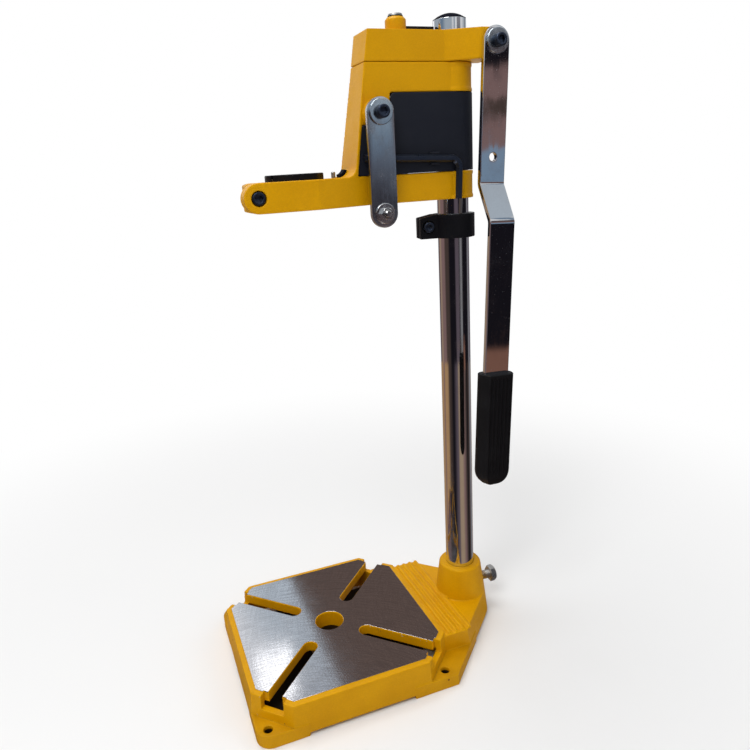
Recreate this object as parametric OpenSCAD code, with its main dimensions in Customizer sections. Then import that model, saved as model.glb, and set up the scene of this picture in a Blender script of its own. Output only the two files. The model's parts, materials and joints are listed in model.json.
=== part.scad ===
/* [Base casting] */
// Height of the machined table face above the bench
table_h = 30; // [24:1:50]
// Table face in front of the centre hole
table_front = 77; // [70:1:100]
// Table face behind the centre hole
table_rear = 80; // [74:1:84]
// Half width of the table face
table_half = 77; // [70:1:100]
// Leg of the cut across each table corner
corner_cut = 24; // [18:1:30]
// Painted rim outside the table face, at the foot of the walls
rim = 6; // [4:0.5:9]
// Painted rim outside the table face, at the top of the walls
rim_top = 4.4; // [3:0.1:6]
// How far the machined face stands above the rim
face_lip = 0.8; // [0.3:0.1:2]
// Side wall of the hollow base
base_wall = 6; // [4:0.5:9]
// Ribs under the table
under_rib_w = 5; // [3:0.5:8]
// Thickness of the plate under the table face
plate_t = 9; // [7:0.5:11]
// Clearance of the base walls above the bench
foot_lift = 3; // [1:0.5:6]
// Height of the corner feet
foot_h = 11; // [8:0.5:16]
// Length of each foot along the side of the base
foot_len = 39; // [32:1:44]
// Radius of the front corners of the feet
foot_r = 12; // [6:1:20]
// Bench bolt holes, front to rear from the centre
foot_hole_x = 74; // [70:0.5:76]
// Bench bolt holes, side to side from the centre
foot_hole_y = 75; // [71:0.5:76]
// Bench bolt hole
foot_hole_d = 7; // [5:0.5:9]
// Hole in the middle of the table
centre_hole_d = 24; // [16:0.5:36]
// Width of the four clamping slots
slot_w = 12; // [8:0.5:16]
// Centre of each slot's inner round end from the table's centre
slot_in = 35.5; // [30:0.5:60]
// Width of the wide mouth at each slot's outer end
mouth_w = 20; // [16:0.5:28]
// Height of the sill under the mouth
mouth_sill = 18; // [14:0.5:19]
// Height of the neck's top
neck_h = 26; // [22:0.5:28]
// Half width of the neck beside the rear feet
neck_half = 56; // [50:1:60]
// Cross ribs on the neck
rib_count = 4; // [1:1:5]
// Spacing of the cross ribs
rib_pitch = 6.3; // [5:0.1:7]
// Height of the cross ribs
rib_h = 1.6; // [0.8:0.1:2.5]
// Width of a cross rib
rib_w = 3.6; // [2:0.1:4.5]
// Radius of the neck's end at its foot
neck_foot_r = 25; // [23:0.5:28]
// Radius of the column socket at the neck
socket_r = 22.5; // [21:0.5:23]
// Radius of the column socket's top
socket_top_r = 19; // [17.5:0.5:20]
// Height of the column socket
socket_h = 55; // [46:0.5:80]
// Rounding of the socket's lip
lip_r = 2.5; // [1:0.25:3]
// Height of the clamp bolt in the socket
clamp_bolt_z = 31; // [30.5:0.5:40]
// Bare shank between the neck's end and the clamp bolt's head
bolt_out = 5.5; // [2:0.5:14]

/* [Column] */
// Distance from the drill's axis to the column's axis
throat = 130; // [128:1:145]
// Outer diameter of the column
column_d = 25; // [25:0.5:25.5]
// Wall of the column tube
column_wall = 2; // [1.5:0.25:4]
// Length of the column
column_len = 500; // [490:1:700]
// Floor of the socket above the bench
column_foot = 15; // [6:1:20]
// Height of the end cap's dome
cap_dome = 4.5; // [2:0.25:6]
// Depth of the end cap's plug inside the tube
cap_plug = 12; // [6:1:20]

/* [Head bracket] */
// Column above the top of the head
column_above = 9.5; // [4:0.5:40]
// Height of the head bracket
head_h = 21.5; // [21:0.5:28]
// Half width of the head and the carriage
side_half = 14.2; // [14:0.1:15]
// Radius of the bosses round the column
boss_r = 15.8; // [15.5:0.1:16]
// How far the bands at a boss's ends stand out
band_out = 0.5; // [0.3:0.1:0.6]
// Front of the head at its lower edge, from the drill's axis
head_front = 54; // [52:0.5:56]
// Slope of the front face, run over rise
front_slope = 0.16; // [0.1:0.01:0.18]
// Lever pivot behind the column's axis
lever_pivot_back = 22.7; // [21:0.1:25]
// Lever pivot above the head's lower face
lever_pivot_up = 11.3; // [10.5:0.1:11.3]
// Radius of the lever boss
lever_boss_r = 10.2; // [9:0.1:10.2]
// Near face of the lever boss
lever_boss_y = 26.2; // [25:0.1:28]
// Radius of the boss over the guide rod
rod_boss_r = 7.75; // [7.5:0.25:9]
// Height of the boss over the guide rod
rod_boss_h = 10.5; // [9:0.5:16]
// Width of the clamping slit
slit_w = 2.4; // [1.5:0.1:3]

/* [Carriage] */
// Height of each of the two lugs
lug_h = 21; // [20:0.5:24]
// Height of the window between the lugs
window_h = 58; // [56:0.5:62]
// Gap between the head and the carriage
part_gap = 0.3; // [0.2:0.1:0.6]
// Thickness of the front wall
front_wall = 2.4; // [2:0.1:3.5]
// Recess behind each cover
cover_recess = 1; // [0.6:0.1:1.2]
// Rear edge of the full width block round the link pivot
block_back = 73; // [72.5:0.5:74.5]
// Height of the covers' lower step
cover_step = 36; // [34:0.5:37]
// Width of the covers' step under the block
cover_notch = 15; // [12:0.5:18]
// Guide rod from the drill's axis
rod_x = 85.6; // [85:0.2:88]
// Diameter of the guide rod
rod_d = 10; // [8:0.5:10]
// Spring pocket in the lower lug
pocket_d = 20; // [19.6:0.2:22]
// Radius where the front face runs into the arm
fillet_r = 8; // [4:0.5:12]
// Stroke of the carriage
stroke = 60; // [40:1:61]

/* [Drill collar] */
// Bore of the arm, which takes the drill's neck or the reducing ring
collar_bore = 43; // [40:0.5:43]
// Wall of the split reducing ring
ring_wall = 2.5; // [2:0.25:4]
// Height of the ring above the arm
ring_proud = 4.5; // [2:0.5:8]
// Gap in the split ring
ring_gap = 2.4; // [1.5:0.1:4]
// Where the ring's gap stands, measured round from the front
ring_turn = 28; // [20:1:50]
// Wall of the arm round the ring
arm_wall = 6.4; // [5:0.1:7]
// Start of the arm's flare, behind the drill's axis
flare_back = 53; // [50:1:56]
// End of the arm's flare, behind the drill's axis
flare_front = 10; // [4:1:16]
// Clamp screw in front of the drill's axis
collar_screw_x = 33.2; // [32.8:0.1:38]
// Gap between the clamp's two ears
jaw_gap = 5; // [3:0.5:6]
// Middle of that gap, to the near side of the drill's axis
jaw_y = 11.5; // [10:0.5:13]
// Thickness of the far ear
ear_t = 13; // [10:0.5:14]
// Far ear's front edge in front of the clamp screw
ear_front = 5.2; // [4.5:0.1:8]

/* [Covers] */
// Wall of the covers
cover_t = 1.8; // [1.4:0.1:1.9]
// How far the covers stand out of the casting's sides
cover_proud = 1; // [0.6:0.1:1.1]
// Rear face of the covers behind the column's axis
cover_back = 16.4; // [16:0.1:18]
// Radius of the covers' rear corners
cover_r = 15; // [4:0.5:15]
// Gap round the covers
cover_gap = 0.3; // [0.2:0.1:0.6]

/* [Link and lever] */
// Inner face of the link
link_y = 22; // [21.8:0.1:23]
// Thickness of the link
link_t = 4; // [3:0.25:4]
// Width of the link
link_w = 20.8; // [18:0.2:21]
// Distance between the link's holes
link_c = 71; // [64:0.5:71]
// Link pivot from the drill's axis
link_x = 60; // [59:0.5:61]
// Link pivot above the lower step of the covers
link_pivot_up = 7.8; // [7:0.2:9]
// Width of the lever
lever_w = 21.5; // [18:0.5:22]
// Thickness of the lever
lever_t = 4; // [3:0.25:5]
// Lever pivot to the link hole
lever_hole_at = 81.7; // [70:0.1:88]
// Hole for the link's bolt
lever_hole_d = 6; // [5:0.25:8]
// Lever pivot to the upper bend
bend_from = 102; // [98:0.5:110]
// Lever pivot to the lower bend
bend_to = 129; // [124:0.5:140]
// How far the lever's lower part stands out
bend_out = 17; // [10:0.5:20]
// Lever pivot to the start of the grip
grip_from = 248; // [200:1:250]
// Length of the grip
grip_len = 97; // [80:1:101]
// Width of the grip
grip_w = 28; // [24:0.5:30]
// Thickness of the grip
grip_t = 15; // [11:0.5:16]
// Grooves on each face of the grip
grip_grooves = 7; // [3:1:9]
// Tilt of the hanging lever
lever_tilt = 2.7; // [0:0.1:5]

/* [Stop collar] */
// Height of the stop collar
stop_h = 18.7; // [14:0.1:24]
// Distance of the stop collar below the carriage
stop_gap = 11.9; // [6:0.1:40]
// Outer radius of the stop collar
stop_r = 17.2; // [16.5:0.1:18]
// Reach of the stop collar's lug from the column's axis
stop_lug = 29; // [28:0.5:34]
// Half width of the lug
stop_lug_half = 8; // [7.5:0.5:9]
// Slit in the stop collar
stop_slit = 2; // [1:0.25:3]
// Turn of the stop collar on the column, away from the lever's side
stop_turn = 12; // [0:1:25]
// Screw of the stop collar
stop_screw_d = 5; // [4:0.5:5]
// Head of the stop collar's screw
stop_head_d = 8.5; // [7.5:0.25:9]

/* [Fasteners] */
// Thread of the pivot and clamp screws
screw_d = 6; // [5:0.5:6]
// Head of the pivot and clamp screws
screw_head_d = 9.5; // [9:0.25:10]
// Height of those heads
screw_head_h = 5; // [4:0.25:5.5]
// Hexagon socket in those heads
socket_af = 5; // [4:0.5:5]
// Large washers under the pivot screws
washer_d = 18; // [15:0.5:19]
// Thickness of those washers
washer_t = 1.5; // [1:0.1:1.8]
// Base clamp bolt
bolt_d = 8; // [6:0.5:8]
// Head of the base clamp bolt across flats
bolt_af = 13; // [10:0.5:13]
// Bolt at the link's free end
link_bolt_d = 5; // [4:0.5:5.5]
// Nut at the link's free end across flats
link_nut_af = 8; // [7:0.5:10]
// Washer at the link's free end
link_washer_d = 15; // [12:0.5:15]
// Wall of the sliding bushes
bush_wall = 1.5; // [1:0.1:1.6]
// Wire of the return spring
wire_d = 1.6; // [1.2:0.1:1.8]
// Outer diameter of the return spring
spring_d = 18; // [17:0.2:18]
// Turns of the return spring
spring_turns = 6; // [4:1:6]
// Hexagon key across flats
key_af = 5; // [4:0.5:5]
// Long arm of the hexagon key
key_long = 78; // [60:1:79]
// Short arm of the hexagon key
key_short = 30; // [26:1:30]
// Bend radius of the hexagon key
key_bend = 7; // [6:0.5:9]
// Tilt of the hexagon key in its clip
key_tilt = 2.6; // [0:0.1:3]

/* [Fits] */
// Radial running clearance on the column, the rod and the pivots
run_gap = 0.05; // [0.03:0.01:0.1]
// Radial clearance of fixed screws and bushes
fix_gap = 0.05; // [0.03:0.01:0.1]
// Clearance of a seat or of a bolt's tip
seat_gap = 0.1; // [0.05:0.05:0.2]
// Side play of the link and the lever
side_play = 0.2; // [0.1:0.05:0.3]

/* [Hidden] */
$fn = 64;
eps = 0.01;
far_out = 400;

column_r = column_d / 2;
bore_r = column_r + run_gap;
column_top = column_foot + seat_gap + column_len;
head_top = column_top - column_above;
head_z = head_top - head_h;
carriage_top = head_z - part_gap;
window_top = head_z - lug_h;
window_z = window_top - window_h;
arm_z = window_z - lug_h;
arm_mid = (window_z + arm_z) / 2;
step_z = window_z + cover_step;
pivot_z = head_z + lever_pivot_up;
pivot_x = -throat - lever_pivot_back;
link_z = step_z + link_pivot_up;
rod_r = rod_d / 2;
ring_r = collar_bore / 2;
arm_half = ring_r + fix_gap + arm_wall;
arm_tip_r = lug_h / 2;
screw_r = screw_d / 2;
head_r = screw_head_d / 2;
cover_y = side_half + cover_proud;
web_half = side_half - cover_recess;
diag = (table_front + table_half - corner_cut) / sqrt(2);
diag_rear = (table_rear + table_half - corner_cut) / sqrt(2);

// Cosine and sine points along an arc
function arc(cx, cy, r, a0, a1, n = 8) =
  [for (i = [0:n]) [cx + r * cos(a0 + (a1 - a0) * i / n), cy + r * sin(a0 + (a1 - a0) * i / n)]];

// Rectangle with its four corners cut off at 45 degrees
function cut_plate(front, rear, half, cut) = [
  [front, -(half - cut)], [front, half - cut], [front - cut, half], [-(rear - cut), half],
  [-rear, half - cut], [-rear, -(half - cut)], [-(rear - cut), -half], [front - cut, -half]
];

// The same plate grown outward by a margin on all eight sides
function grown_plate(m) =
  cut_plate(table_front + m, table_rear + m, table_half + m, corner_cut + m * (2 - sqrt(2)));

// Front face of the head and the carriage at a height
function front_x(z) = -head_front - (z - head_z) * front_slope;

// A solid drawn on the XZ plane, reaching from y0 to y1
module along_y(y0, y1) {
  translate([0, y1, 0]) rotate([90, 0, 0]) linear_extrude(y1 - y0) children();
}

// A round rod along Y
module rod_y(x, z, r, y0, y1) {
  translate([x, y0, z]) rotate([-90, 0, 0]) cylinder(r = r, h = y1 - y0);
}

// A hexagon along Y
module hex_y(x, z, af, y0, y1) {
  translate([x, y0, z]) rotate([-90, 0, 0]) cylinder(d = af / cos(30), h = y1 - y0, $fn = 6);
}

// Socket cap screw along Y with its head's seat at y, pointing towards -Y times side
module cap_screw_y(x, z, y, length, side = 1, d = screw_d, hd = screw_head_d, hh = screw_head_h) {
  translate([x, y, z]) rotate([-90 * side, 0, 0]) difference() {
    union() {
      cylinder(d = hd, h = hh);
      translate([0, 0, -length]) cylinder(d = d, h = length + eps);
    }
    translate([0, 0, hh - 3]) cylinder(d = socket_af / cos(30), h = 4, $fn = 6);
  }
}

// Flat ring along Y
module ring_y(x, z, ro, ri, y0, y1) {
  difference() {
    rod_y(x, z, ro, y0, y1);
    rod_y(x, z, ri, y0 - 1, y1 + 1);
  }
}

// Outline of the feet seen from above
outline_sum = throat + neck_foot_r * sqrt(2);
base_half = table_half + rim;
base_front = table_front + rim;
base_plan = concat(
  arc(base_front - foot_r, base_half - foot_r, foot_r, 0, 90),
  [[-(outline_sum - base_half), base_half]],
  arc(-throat, 0, neck_foot_r, 135, 225, 16),
  [[-(outline_sum - base_half), -base_half]],
  arc(base_front - foot_r, -(base_half - foot_r), foot_r, -90, 0)
);

// Slab square to the direction given by turn, whose two faces lean inward from the bottom to the top
module leaning_slab(turn, ahead, behind, z0, z1, foot, top) {
  rotate([0, 0, turn]) along_y(-far_out / 2, far_out / 2) polygon([
    [-(behind + foot), z0], [ahead + foot, z0], [ahead + top, z1], [-(behind + top), z1]
  ]);
}

// Clamping slot: narrow in the plate, with a wide window in the corner wall
module base_slot(turn, reach) {
  rotate([0, 0, turn]) {
    translate([slot_in, 0, mouth_sill]) cylinder(d = slot_w, h = table_h);
    translate([slot_in, -slot_w / 2, mouth_sill]) cube([reach + rim + 4 - slot_in, slot_w, table_h]);
    translate([reach - 1, -mouth_w / 2, mouth_sill]) cube([rim + 5, mouth_w, table_h]);
  }
}

module base_walls() {
  top = table_h - face_lip;
  intersection() {
    leaning_slab(0, table_front, table_rear, foot_lift, top, rim, rim_top);
    leaning_slab(90, table_half, table_half, foot_lift, top, rim, rim_top);
    leaning_slab(45, diag, diag_rear, foot_lift, top, rim, rim_top);
    leaning_slab(-45, diag, diag_rear, foot_lift, top, rim, rim_top);
  }
  translate([0, 0, top - eps]) linear_extrude(face_lip + eps) polygon(grown_plate(0));
}

module base_neck() {
  reach = throat / sqrt(2);
  intersection() {
    leaning_slab(45, 0, reach, foot_lift, neck_h, neck_foot_r, socket_r);
    leaning_slab(-45, 0, reach, foot_lift, neck_h, neck_foot_r, socket_r);
    translate([-throat - socket_r * cos(45), -neck_half, 0])
      cube([throat + socket_r * cos(45) - table_rear, 2 * neck_half, neck_h]);
  }
  // Cross ribs behind the table
  intersection() {
    translate([-throat, -neck_half + 1, neck_h - 1]) cube([throat, 2 * neck_half - 2, rib_h + 1]);
    for (s = [-1, 1]) leaning_slab(45 * s, 0, reach, 0, neck_h + rib_h, socket_r, socket_r);
    for (i = [0:rib_count - 1])
      rod_y(-table_rear - rim - (i + 0.6) * rib_pitch, neck_h, rib_w / 2, -neck_half, neck_half);
  }
}

module base_socket() {
  // The round foot ends a little above the foot of the neck's walls
  step = 0.5;
  foot_r = neck_foot_r - (neck_foot_r - socket_r) * step / (neck_h - foot_lift);
  translate([-throat, 0, 0]) rotate_extrude() polygon(concat(
    [[0, foot_lift + step], [foot_r, foot_lift + step], [socket_r, neck_h]],
    arc(socket_top_r - lip_r, socket_h - lip_r, lip_r, 0, 90, 6),
    [[0, socket_h]]
  ));
}

module base_feet() {
  intersection() {
    linear_extrude(foot_h) polygon(base_plan);
    union() for (s = [-1, 1]) {
      translate([base_front - foot_len, s > 0 ? base_half - foot_len : -base_half, 0])
        cube([foot_len, foot_len, foot_h]);
      translate([-throat, s > 0 ? base_half - foot_len : -base_half, 0])
        cube([throat - base_front + foot_len, foot_len, foot_h]);
    }
  }
}

module base_hollow() {
  ceiling = table_h - plate_t;
  difference() {
    translate([0, 0, -1]) linear_extrude(ceiling + 1) polygon(grown_plate(rim - base_wall));
    // Boss round the centre hole and the cross of ribs
    cylinder(d = centre_hole_d + 2 * base_wall, h = table_h);
    translate([-far_out / 2, -under_rib_w / 2, foot_lift + 4]) cube([far_out, under_rib_w, table_h]);
    translate([-under_rib_w / 2, -far_out / 2, foot_lift + 4]) cube([under_rib_w, far_out, table_h]);
  }
  // Hollow under the neck
  y_in = base_half - foot_len - 4;
  x_side = outline_sum - base_wall * sqrt(2) - y_in;
  x_mid = throat - neck_foot_r - 2;
  translate([0, 0, -1]) linear_extrude(neck_h - plate_t + 1) polygon([
    [-table_rear - rim, -y_in], [-x_side, -y_in], [-x_mid, -neck_foot_r],
    [-x_mid, neck_foot_r], [-x_side, y_in], [-table_rear - rim, y_in]
  ]);
}

module base() {
  color("goldenrod") difference() {
    union() {
      base_walls();
      base_feet();
      base_neck();
      base_socket();
    }
    base_hollow();
    for (t = [-45, 45]) base_slot(t, diag);
    for (t = [135, 225]) base_slot(t, diag_rear);
    translate([0, 0, -1]) cylinder(d = centre_hole_d, h = table_h + 2);
    for (sx = [-1, 1], sy = [-1, 1])
      translate([sx * foot_hole_x, sy * foot_hole_y, -1]) cylinder(d = foot_hole_d, h = table_h);
    translate([-throat, 0, column_foot]) cylinder(r = bore_r, h = socket_h);
    translate([-throat, 0, clamp_bolt_z]) rotate([0, -90, 0])
      cylinder(r = bolt_d / 2 + fix_gap, h = far_out / 4);
  }
}

bolt_head_h = 5.3;

module base_clamp_bolt() {
  tip = column_r + seat_gap;
  head_at = neck_foot_r + bolt_out;
  color("silver") translate([-throat, 0, clamp_bolt_z]) rotate([0, -90, 0]) {
    translate([0, 0, tip]) cylinder(d = bolt_d, h = head_at - tip + eps);
    translate([0, 0, head_at]) rotate([0, 0, 30]) cylinder(d = bolt_af / cos(30), h = bolt_head_h, $fn = 6);
  }
}

module column() {
  color("lightgray") translate([-throat, 0, column_foot + seat_gap]) difference() {
    cylinder(r = column_r, h = column_len);
    translate([0, 0, -1]) cylinder(r = column_r - column_wall, h = column_len + 2);
  }
}

module column_cap() {
  plug_r = column_r - column_wall - fix_gap;
  dome_r = (pow(column_r, 2) + pow(cap_dome, 2)) / (2 * cap_dome);
  color("black") translate([-throat, 0, column_top]) {
    translate([0, 0, -cap_plug]) cylinder(r = plug_r, h = cap_plug + 0.5);
    intersection() {
      translate([0, 0, cap_dome - dome_r]) sphere(r = dome_r, $fn = 96);
      cylinder(r = column_r, h = cap_dome);
    }
  }
}

// Side outline of the head or the carriage's front, between two heights
function front_outline(z0, z1, back) = [[front_x(z0), z0], [front_x(z1), z1], [back, z1], [back, z0]];

module column_boss(z, h) {
  band_h = 2.5;
  translate([-throat, 0, z]) cylinder(r = boss_r, h = h);
  for (b = [0, h - band_h]) translate([-throat, 0, z + b]) cylinder(r = boss_r + band_out, h = band_h);
}

strip_h = 11;
strip_proud = 4.6;
slit_front = -rod_x - rod_boss_r;
head_screw_x = (slit_front - throat + column_r) / 2;
rod_top = head_top + rod_boss_h - 5;

module head_bracket() {
  flare_at = -throat + 12;
  color("goldenrod") difference() {
    union() {
      along_y(-side_half, side_half) polygon(front_outline(head_z, head_top, -throat));
      translate([-throat, 0, head_z]) cylinder(r = boss_r + band_out, h = head_h);
      // Boss that carries the lever, faired into the side
      rod_y(pivot_x, pivot_z, lever_boss_r, 0, lever_boss_y);
      translate([0, 0, head_z]) linear_extrude(head_h)
        polygon([[flare_at, 0], [flare_at, side_half], [pivot_x + lever_boss_r, lever_boss_y],
                 [pivot_x, lever_boss_y], [pivot_x, 4], [-throat, 0]]);
      // Boss over the guide rod
      translate([-rod_x, 0, head_top - eps]) cylinder(r = rod_boss_r, h = rod_boss_h - 2 + eps);
      translate([-rod_x, 0, head_top + rod_boss_h - 2]) cylinder(r1 = rod_boss_r, r2 = rod_boss_r - 1.8, h = 2);
    }
    translate([-throat, 0, head_z - 1]) cylinder(r = bore_r, h = head_h + 2);
    translate([-throat, -slit_w / 2, head_z - 1]) cube([throat + slit_front, slit_w, head_h + 2]);
    translate([-rod_x, 0, head_z - 1]) cylinder(r = rod_r + fix_gap, h = rod_top - head_z + 1);
    translate([-rod_x, 0, head_z]) cylinder(r = screw_r + fix_gap, h = head_h + rod_boss_h + 1);
    rod_y(head_screw_x, pivot_z, screw_r + fix_gap, -side_half - 1, side_half - 4);
    rod_y(pivot_x, pivot_z, screw_r + fix_gap, 8, lever_boss_y + 1);
  }
}

module head_clamp_screw() {
  color("black")
    cap_screw_y(head_screw_x, pivot_z, -side_half, 2 * side_half - 5, -1);
}

module slit_strip() {
  color("black") translate([-throat + bore_r + 1, -slit_w / 2 + seat_gap, head_top + strip_proud - strip_h])
    cube([throat - bore_r - 1 + slit_front - seat_gap, slit_w - 2 * seat_gap, strip_h]);
}

rod_end = arm_z + 7;
washer_end_t = 1.5;

module guide_rod() {
  color("silver") translate([-rod_x, 0, 0]) difference() {
    translate([0, 0, rod_end]) cylinder(r = rod_r, h = rod_top - seat_gap - rod_end);
    translate([0, 0, rod_top - 12]) cylinder(r = screw_r + fix_gap, h = 20);
    translate([0, 0, rod_end - 1]) cylinder(r = link_bolt_d / 2 + fix_gap, h = 13);
  }
}

module rod_top_screw() {
  color("silver") translate([-rod_x, 0, head_top + rod_boss_h]) difference() {
    union() {
      translate([0, 0, -14]) cylinder(r = screw_r, h = 14 + eps);
      cylinder(r1 = 4.6, r2 = 3.6, h = 2.2);
    }
    translate([0, 0, 1]) cylinder(d = 3 / cos(30), h = 2, $fn = 6);
  }
}

module rod_end_washer() {
  color("silver") translate([-rod_x, 0, rod_end - washer_end_t]) difference() {
    cylinder(r = spring_d / 2, h = washer_end_t);
    translate([0, 0, -1]) cylinder(r = link_bolt_d / 2 + fix_gap, h = 4);
  }
}

module rod_end_screw() {
  color("silver") translate([-rod_x, 0, rod_end - washer_end_t]) {
    translate([0, 0, -2]) cylinder(r = 4.4, h = 2);
    translate([0, 0, -eps]) cylinder(d = link_bolt_d, h = 11);
  }
}

// Return spring: rings of points round the wire, set along the coil
spring_z0 = rod_end + part_gap + wire_d / 2;
spring_z1 = window_top - part_gap - wire_d / 2;
coil_r = (spring_d - wire_d) / 2;
rings_per_turn = 8;
wire_sides = 6;
spring_rings = spring_turns * rings_per_turn;
spring_self_gap = (spring_z1 - spring_z0) / spring_turns - wire_d;
echo("least gap between the return spring's turns", spring_self_gap);

function spring_ring(i) = [for (k = [0:wire_sides - 1])
  let (a = 360 * k / wire_sides, turn = 360 * i / rings_per_turn, out = coil_r + wire_d / 2 * cos(a))
  [out * cos(turn), out * sin(turn),
   spring_z0 + (spring_z1 - spring_z0) * i / spring_rings + wire_d / 2 * sin(a)]];

module return_spring() {
  points = [for (i = [0:spring_rings]) each spring_ring(i)];
  sides = [for (i = [0:spring_rings - 1], k = [0:wire_sides - 1])
    let (n = (k + 1) % wire_sides, a = i * wire_sides, b = a + wire_sides)
    each [[a + k, b + k, b + n], [a + k, b + n, a + n]]];
  last_at = spring_rings * wire_sides;
  ends = [for (k = [1:wire_sides - 2]) each [[0, k, k + 1], [last_at, last_at + k + 1, last_at + k]]];
  color("silver") translate([-rod_x, 0, 0]) polyhedron(points, concat(sides, ends));
}

module pivot_bush(x, z, y0, y1) {
  ring_y(x, z, screw_r + 2, screw_r + fix_gap, y0, y1);
}

lever_y = lever_boss_y + side_play;
lever_out = lever_y + lever_t + side_play;

module lever_bush() {
  color("goldenrod") pivot_bush(pivot_x, pivot_z, lever_boss_y, lever_out);
}

module lever_pivot_washer() {
  color("silver") ring_y(pivot_x, pivot_z, washer_d / 2, screw_r + fix_gap, lever_out, lever_out + washer_t);
}

module lever_pivot_screw() {
  color("black") cap_screw_y(pivot_x, pivot_z, lever_out + washer_t, lever_out + washer_t - 9);
}

link_boss_y = link_y - side_play;
link_out = link_y + link_t + side_play;
link_boss_r = 9;

module carriage_side() {
  tip_x = collar_screw_x;
  foot_x = front_x(window_z + fillet_r);
  difference() {
    polygon(concat(
      [[-throat, arm_z]],
      arc(tip_x, arm_mid, arm_tip_r, -90, 90, 16),
      arc(foot_x + fillet_r, window_z + fillet_r, fillet_r, 270, 180 + atan(front_slope), 6),
      [[front_x(carriage_top), carriage_top], [-throat, carriage_top]]
    ));
    polygon([[-block_back, window_z], [-throat - 1, window_z], [-throat - 1, window_top],
             [-block_back, window_top]]);
  }
}

// Area of the side that a cover fills, with a margin
function cover_side(m, back) = [
  [-block_back - m, window_top - m], [back, window_top - m], [back, window_z + m],
  [front_x(window_z) - front_wall - m, window_z + m],
  [front_x(step_z) - front_wall - m, step_z - m], [-link_x + 3 - m, step_z - m],
  [-link_x - cover_notch + 3 - m, step_z + 10 - m]
];

near_ear = jaw_y + jaw_gap / 2;
far_ear = jaw_y - jaw_gap / 2 - ear_t;
ear_end = collar_screw_x + ear_front;
arm_end = collar_screw_x + arm_tip_r + 1;
arm_plan = concat(
  [[arm_end, near_ear], [arm_end, arm_half], [-flare_front, arm_half], [-flare_back, side_half],
   [-throat - 1, side_half], [-throat - 1, -side_half], [-flare_back, -side_half]],
  arc(0, 0, arm_half, -108, asin(far_ear / arm_half), 12),
  [[ear_end, far_ear], [ear_end, near_ear]]
);

bush_r = bore_r + bush_wall;
rod_bush_r = rod_r + run_gap + bush_wall;

module carriage_casting() {
  difference() {
    union() {
      intersection() {
        along_y(-arm_half, arm_half) carriage_side();
        translate([0, 0, arm_z - 1]) linear_extrude(carriage_top - arm_z + 2) polygon(arm_plan);
      }
      column_boss(arm_z, lug_h);
      column_boss(window_top, carriage_top - window_top);
      rod_y(-link_x, link_z, link_boss_r, 0, link_boss_y);
    }
    // Recess for each cover
    for (s = [-1, 1])
      along_y(s > 0 ? web_half : -far_out, s > 0 ? far_out : -web_half)
        polygon(cover_side(0, -far_out));
    // Column, guide rod and spring
    translate([-throat, 0, arm_z - 1]) cylinder(r = bush_r + fix_gap, h = far_out);
    translate([-rod_x, 0, window_top - 1]) cylinder(r = rod_bush_r + fix_gap, h = far_out);
    translate([-rod_x, 0, arm_z + 3]) cylinder(d = pocket_d, h = window_z - arm_z);
    // Drill collar, its slit and its clamp screw
    translate([0, 0, arm_z - 1]) cylinder(r = ring_r + fix_gap, h = lug_h + 2);
    translate([0, jaw_y - jaw_gap / 2, arm_z - 1]) cube([far_out, jaw_gap, lug_h + 2]);
    rod_y(collar_screw_x, arm_mid, screw_r + fix_gap, far_ear - 1, far_out);
    rod_y(collar_screw_x, arm_mid, head_r + 0.7, arm_half - screw_head_h - 0.4, far_out);
    // Link pivot thread
    rod_y(-link_x, link_z, screw_r + fix_gap, 4, link_boss_y + 1);
    // Stud behind the collar
    translate([-stud_x, stud_y, window_z - 6]) cylinder(d = stud_d + 2 * fix_gap, h = 20);
  }
}

// The casting is made as two solids that meet at the arm's top
module above_arm(gap) {
  translate([-far_out, -far_out, window_z + gap]) cube([2 * far_out, 2 * far_out, carriage_top]);
}

module carriage() {
  color("goldenrod") intersection() {
    carriage_casting();
    above_arm(seat_gap);
  }
}

module carriage_arm() {
  color("goldenrod") difference() {
    carriage_casting();
    above_arm(0);
  }
}

nut_af = 10;
nut_h = 5;
stud_x = 32.2;
stud_y = -6;
stud_d = 3.2;
stud_out = 4.6;

module arm_stud() {
  color("silver") translate([-stud_x, stud_y, window_z - 6 + seat_gap]) cylinder(d = stud_d, h = 6 + stud_out);
}

// Leaf in the corner between the arm and the front face
module arm_stop() {
  cx = front_x(window_z + fillet_r) + fillet_r;
  cz = window_z + fillet_r;
  outer = arc(cx, cz, fillet_r - seat_gap, 200, 258);
  inner = arc(cx, cz, fillet_r - seat_gap - 2.2, 258, 200);
  color("black") along_y(stud_y - 4, stud_y + 4) polygon(concat(outer, inner));
}

module collar_ring() {
  color("black") translate([0, 0, arm_z + seat_gap]) difference() {
    cylinder(r = ring_r, h = lug_h + ring_proud);
    translate([0, 0, -1]) cylinder(r = ring_r - ring_wall, h = far_out);
    rotate([0, 0, ring_turn]) translate([0, -ring_gap / 2, -1]) cube([far_out, ring_gap, far_out]);
  }
}

module collar_clamp_screw() {
  seat_y = arm_half - screw_head_h - 0.4;
  color("black") cap_screw_y(collar_screw_x, arm_mid, seat_y, seat_y - far_ear + nut_h + 1.5);
}

module collar_clamp_nut() {
  color("silver") difference() {
    hex_y(collar_screw_x, arm_mid, nut_af, far_ear - nut_h, far_ear);
    rod_y(collar_screw_x, arm_mid, screw_r + fix_gap, -far_out, far_out);
  }
}

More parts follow.
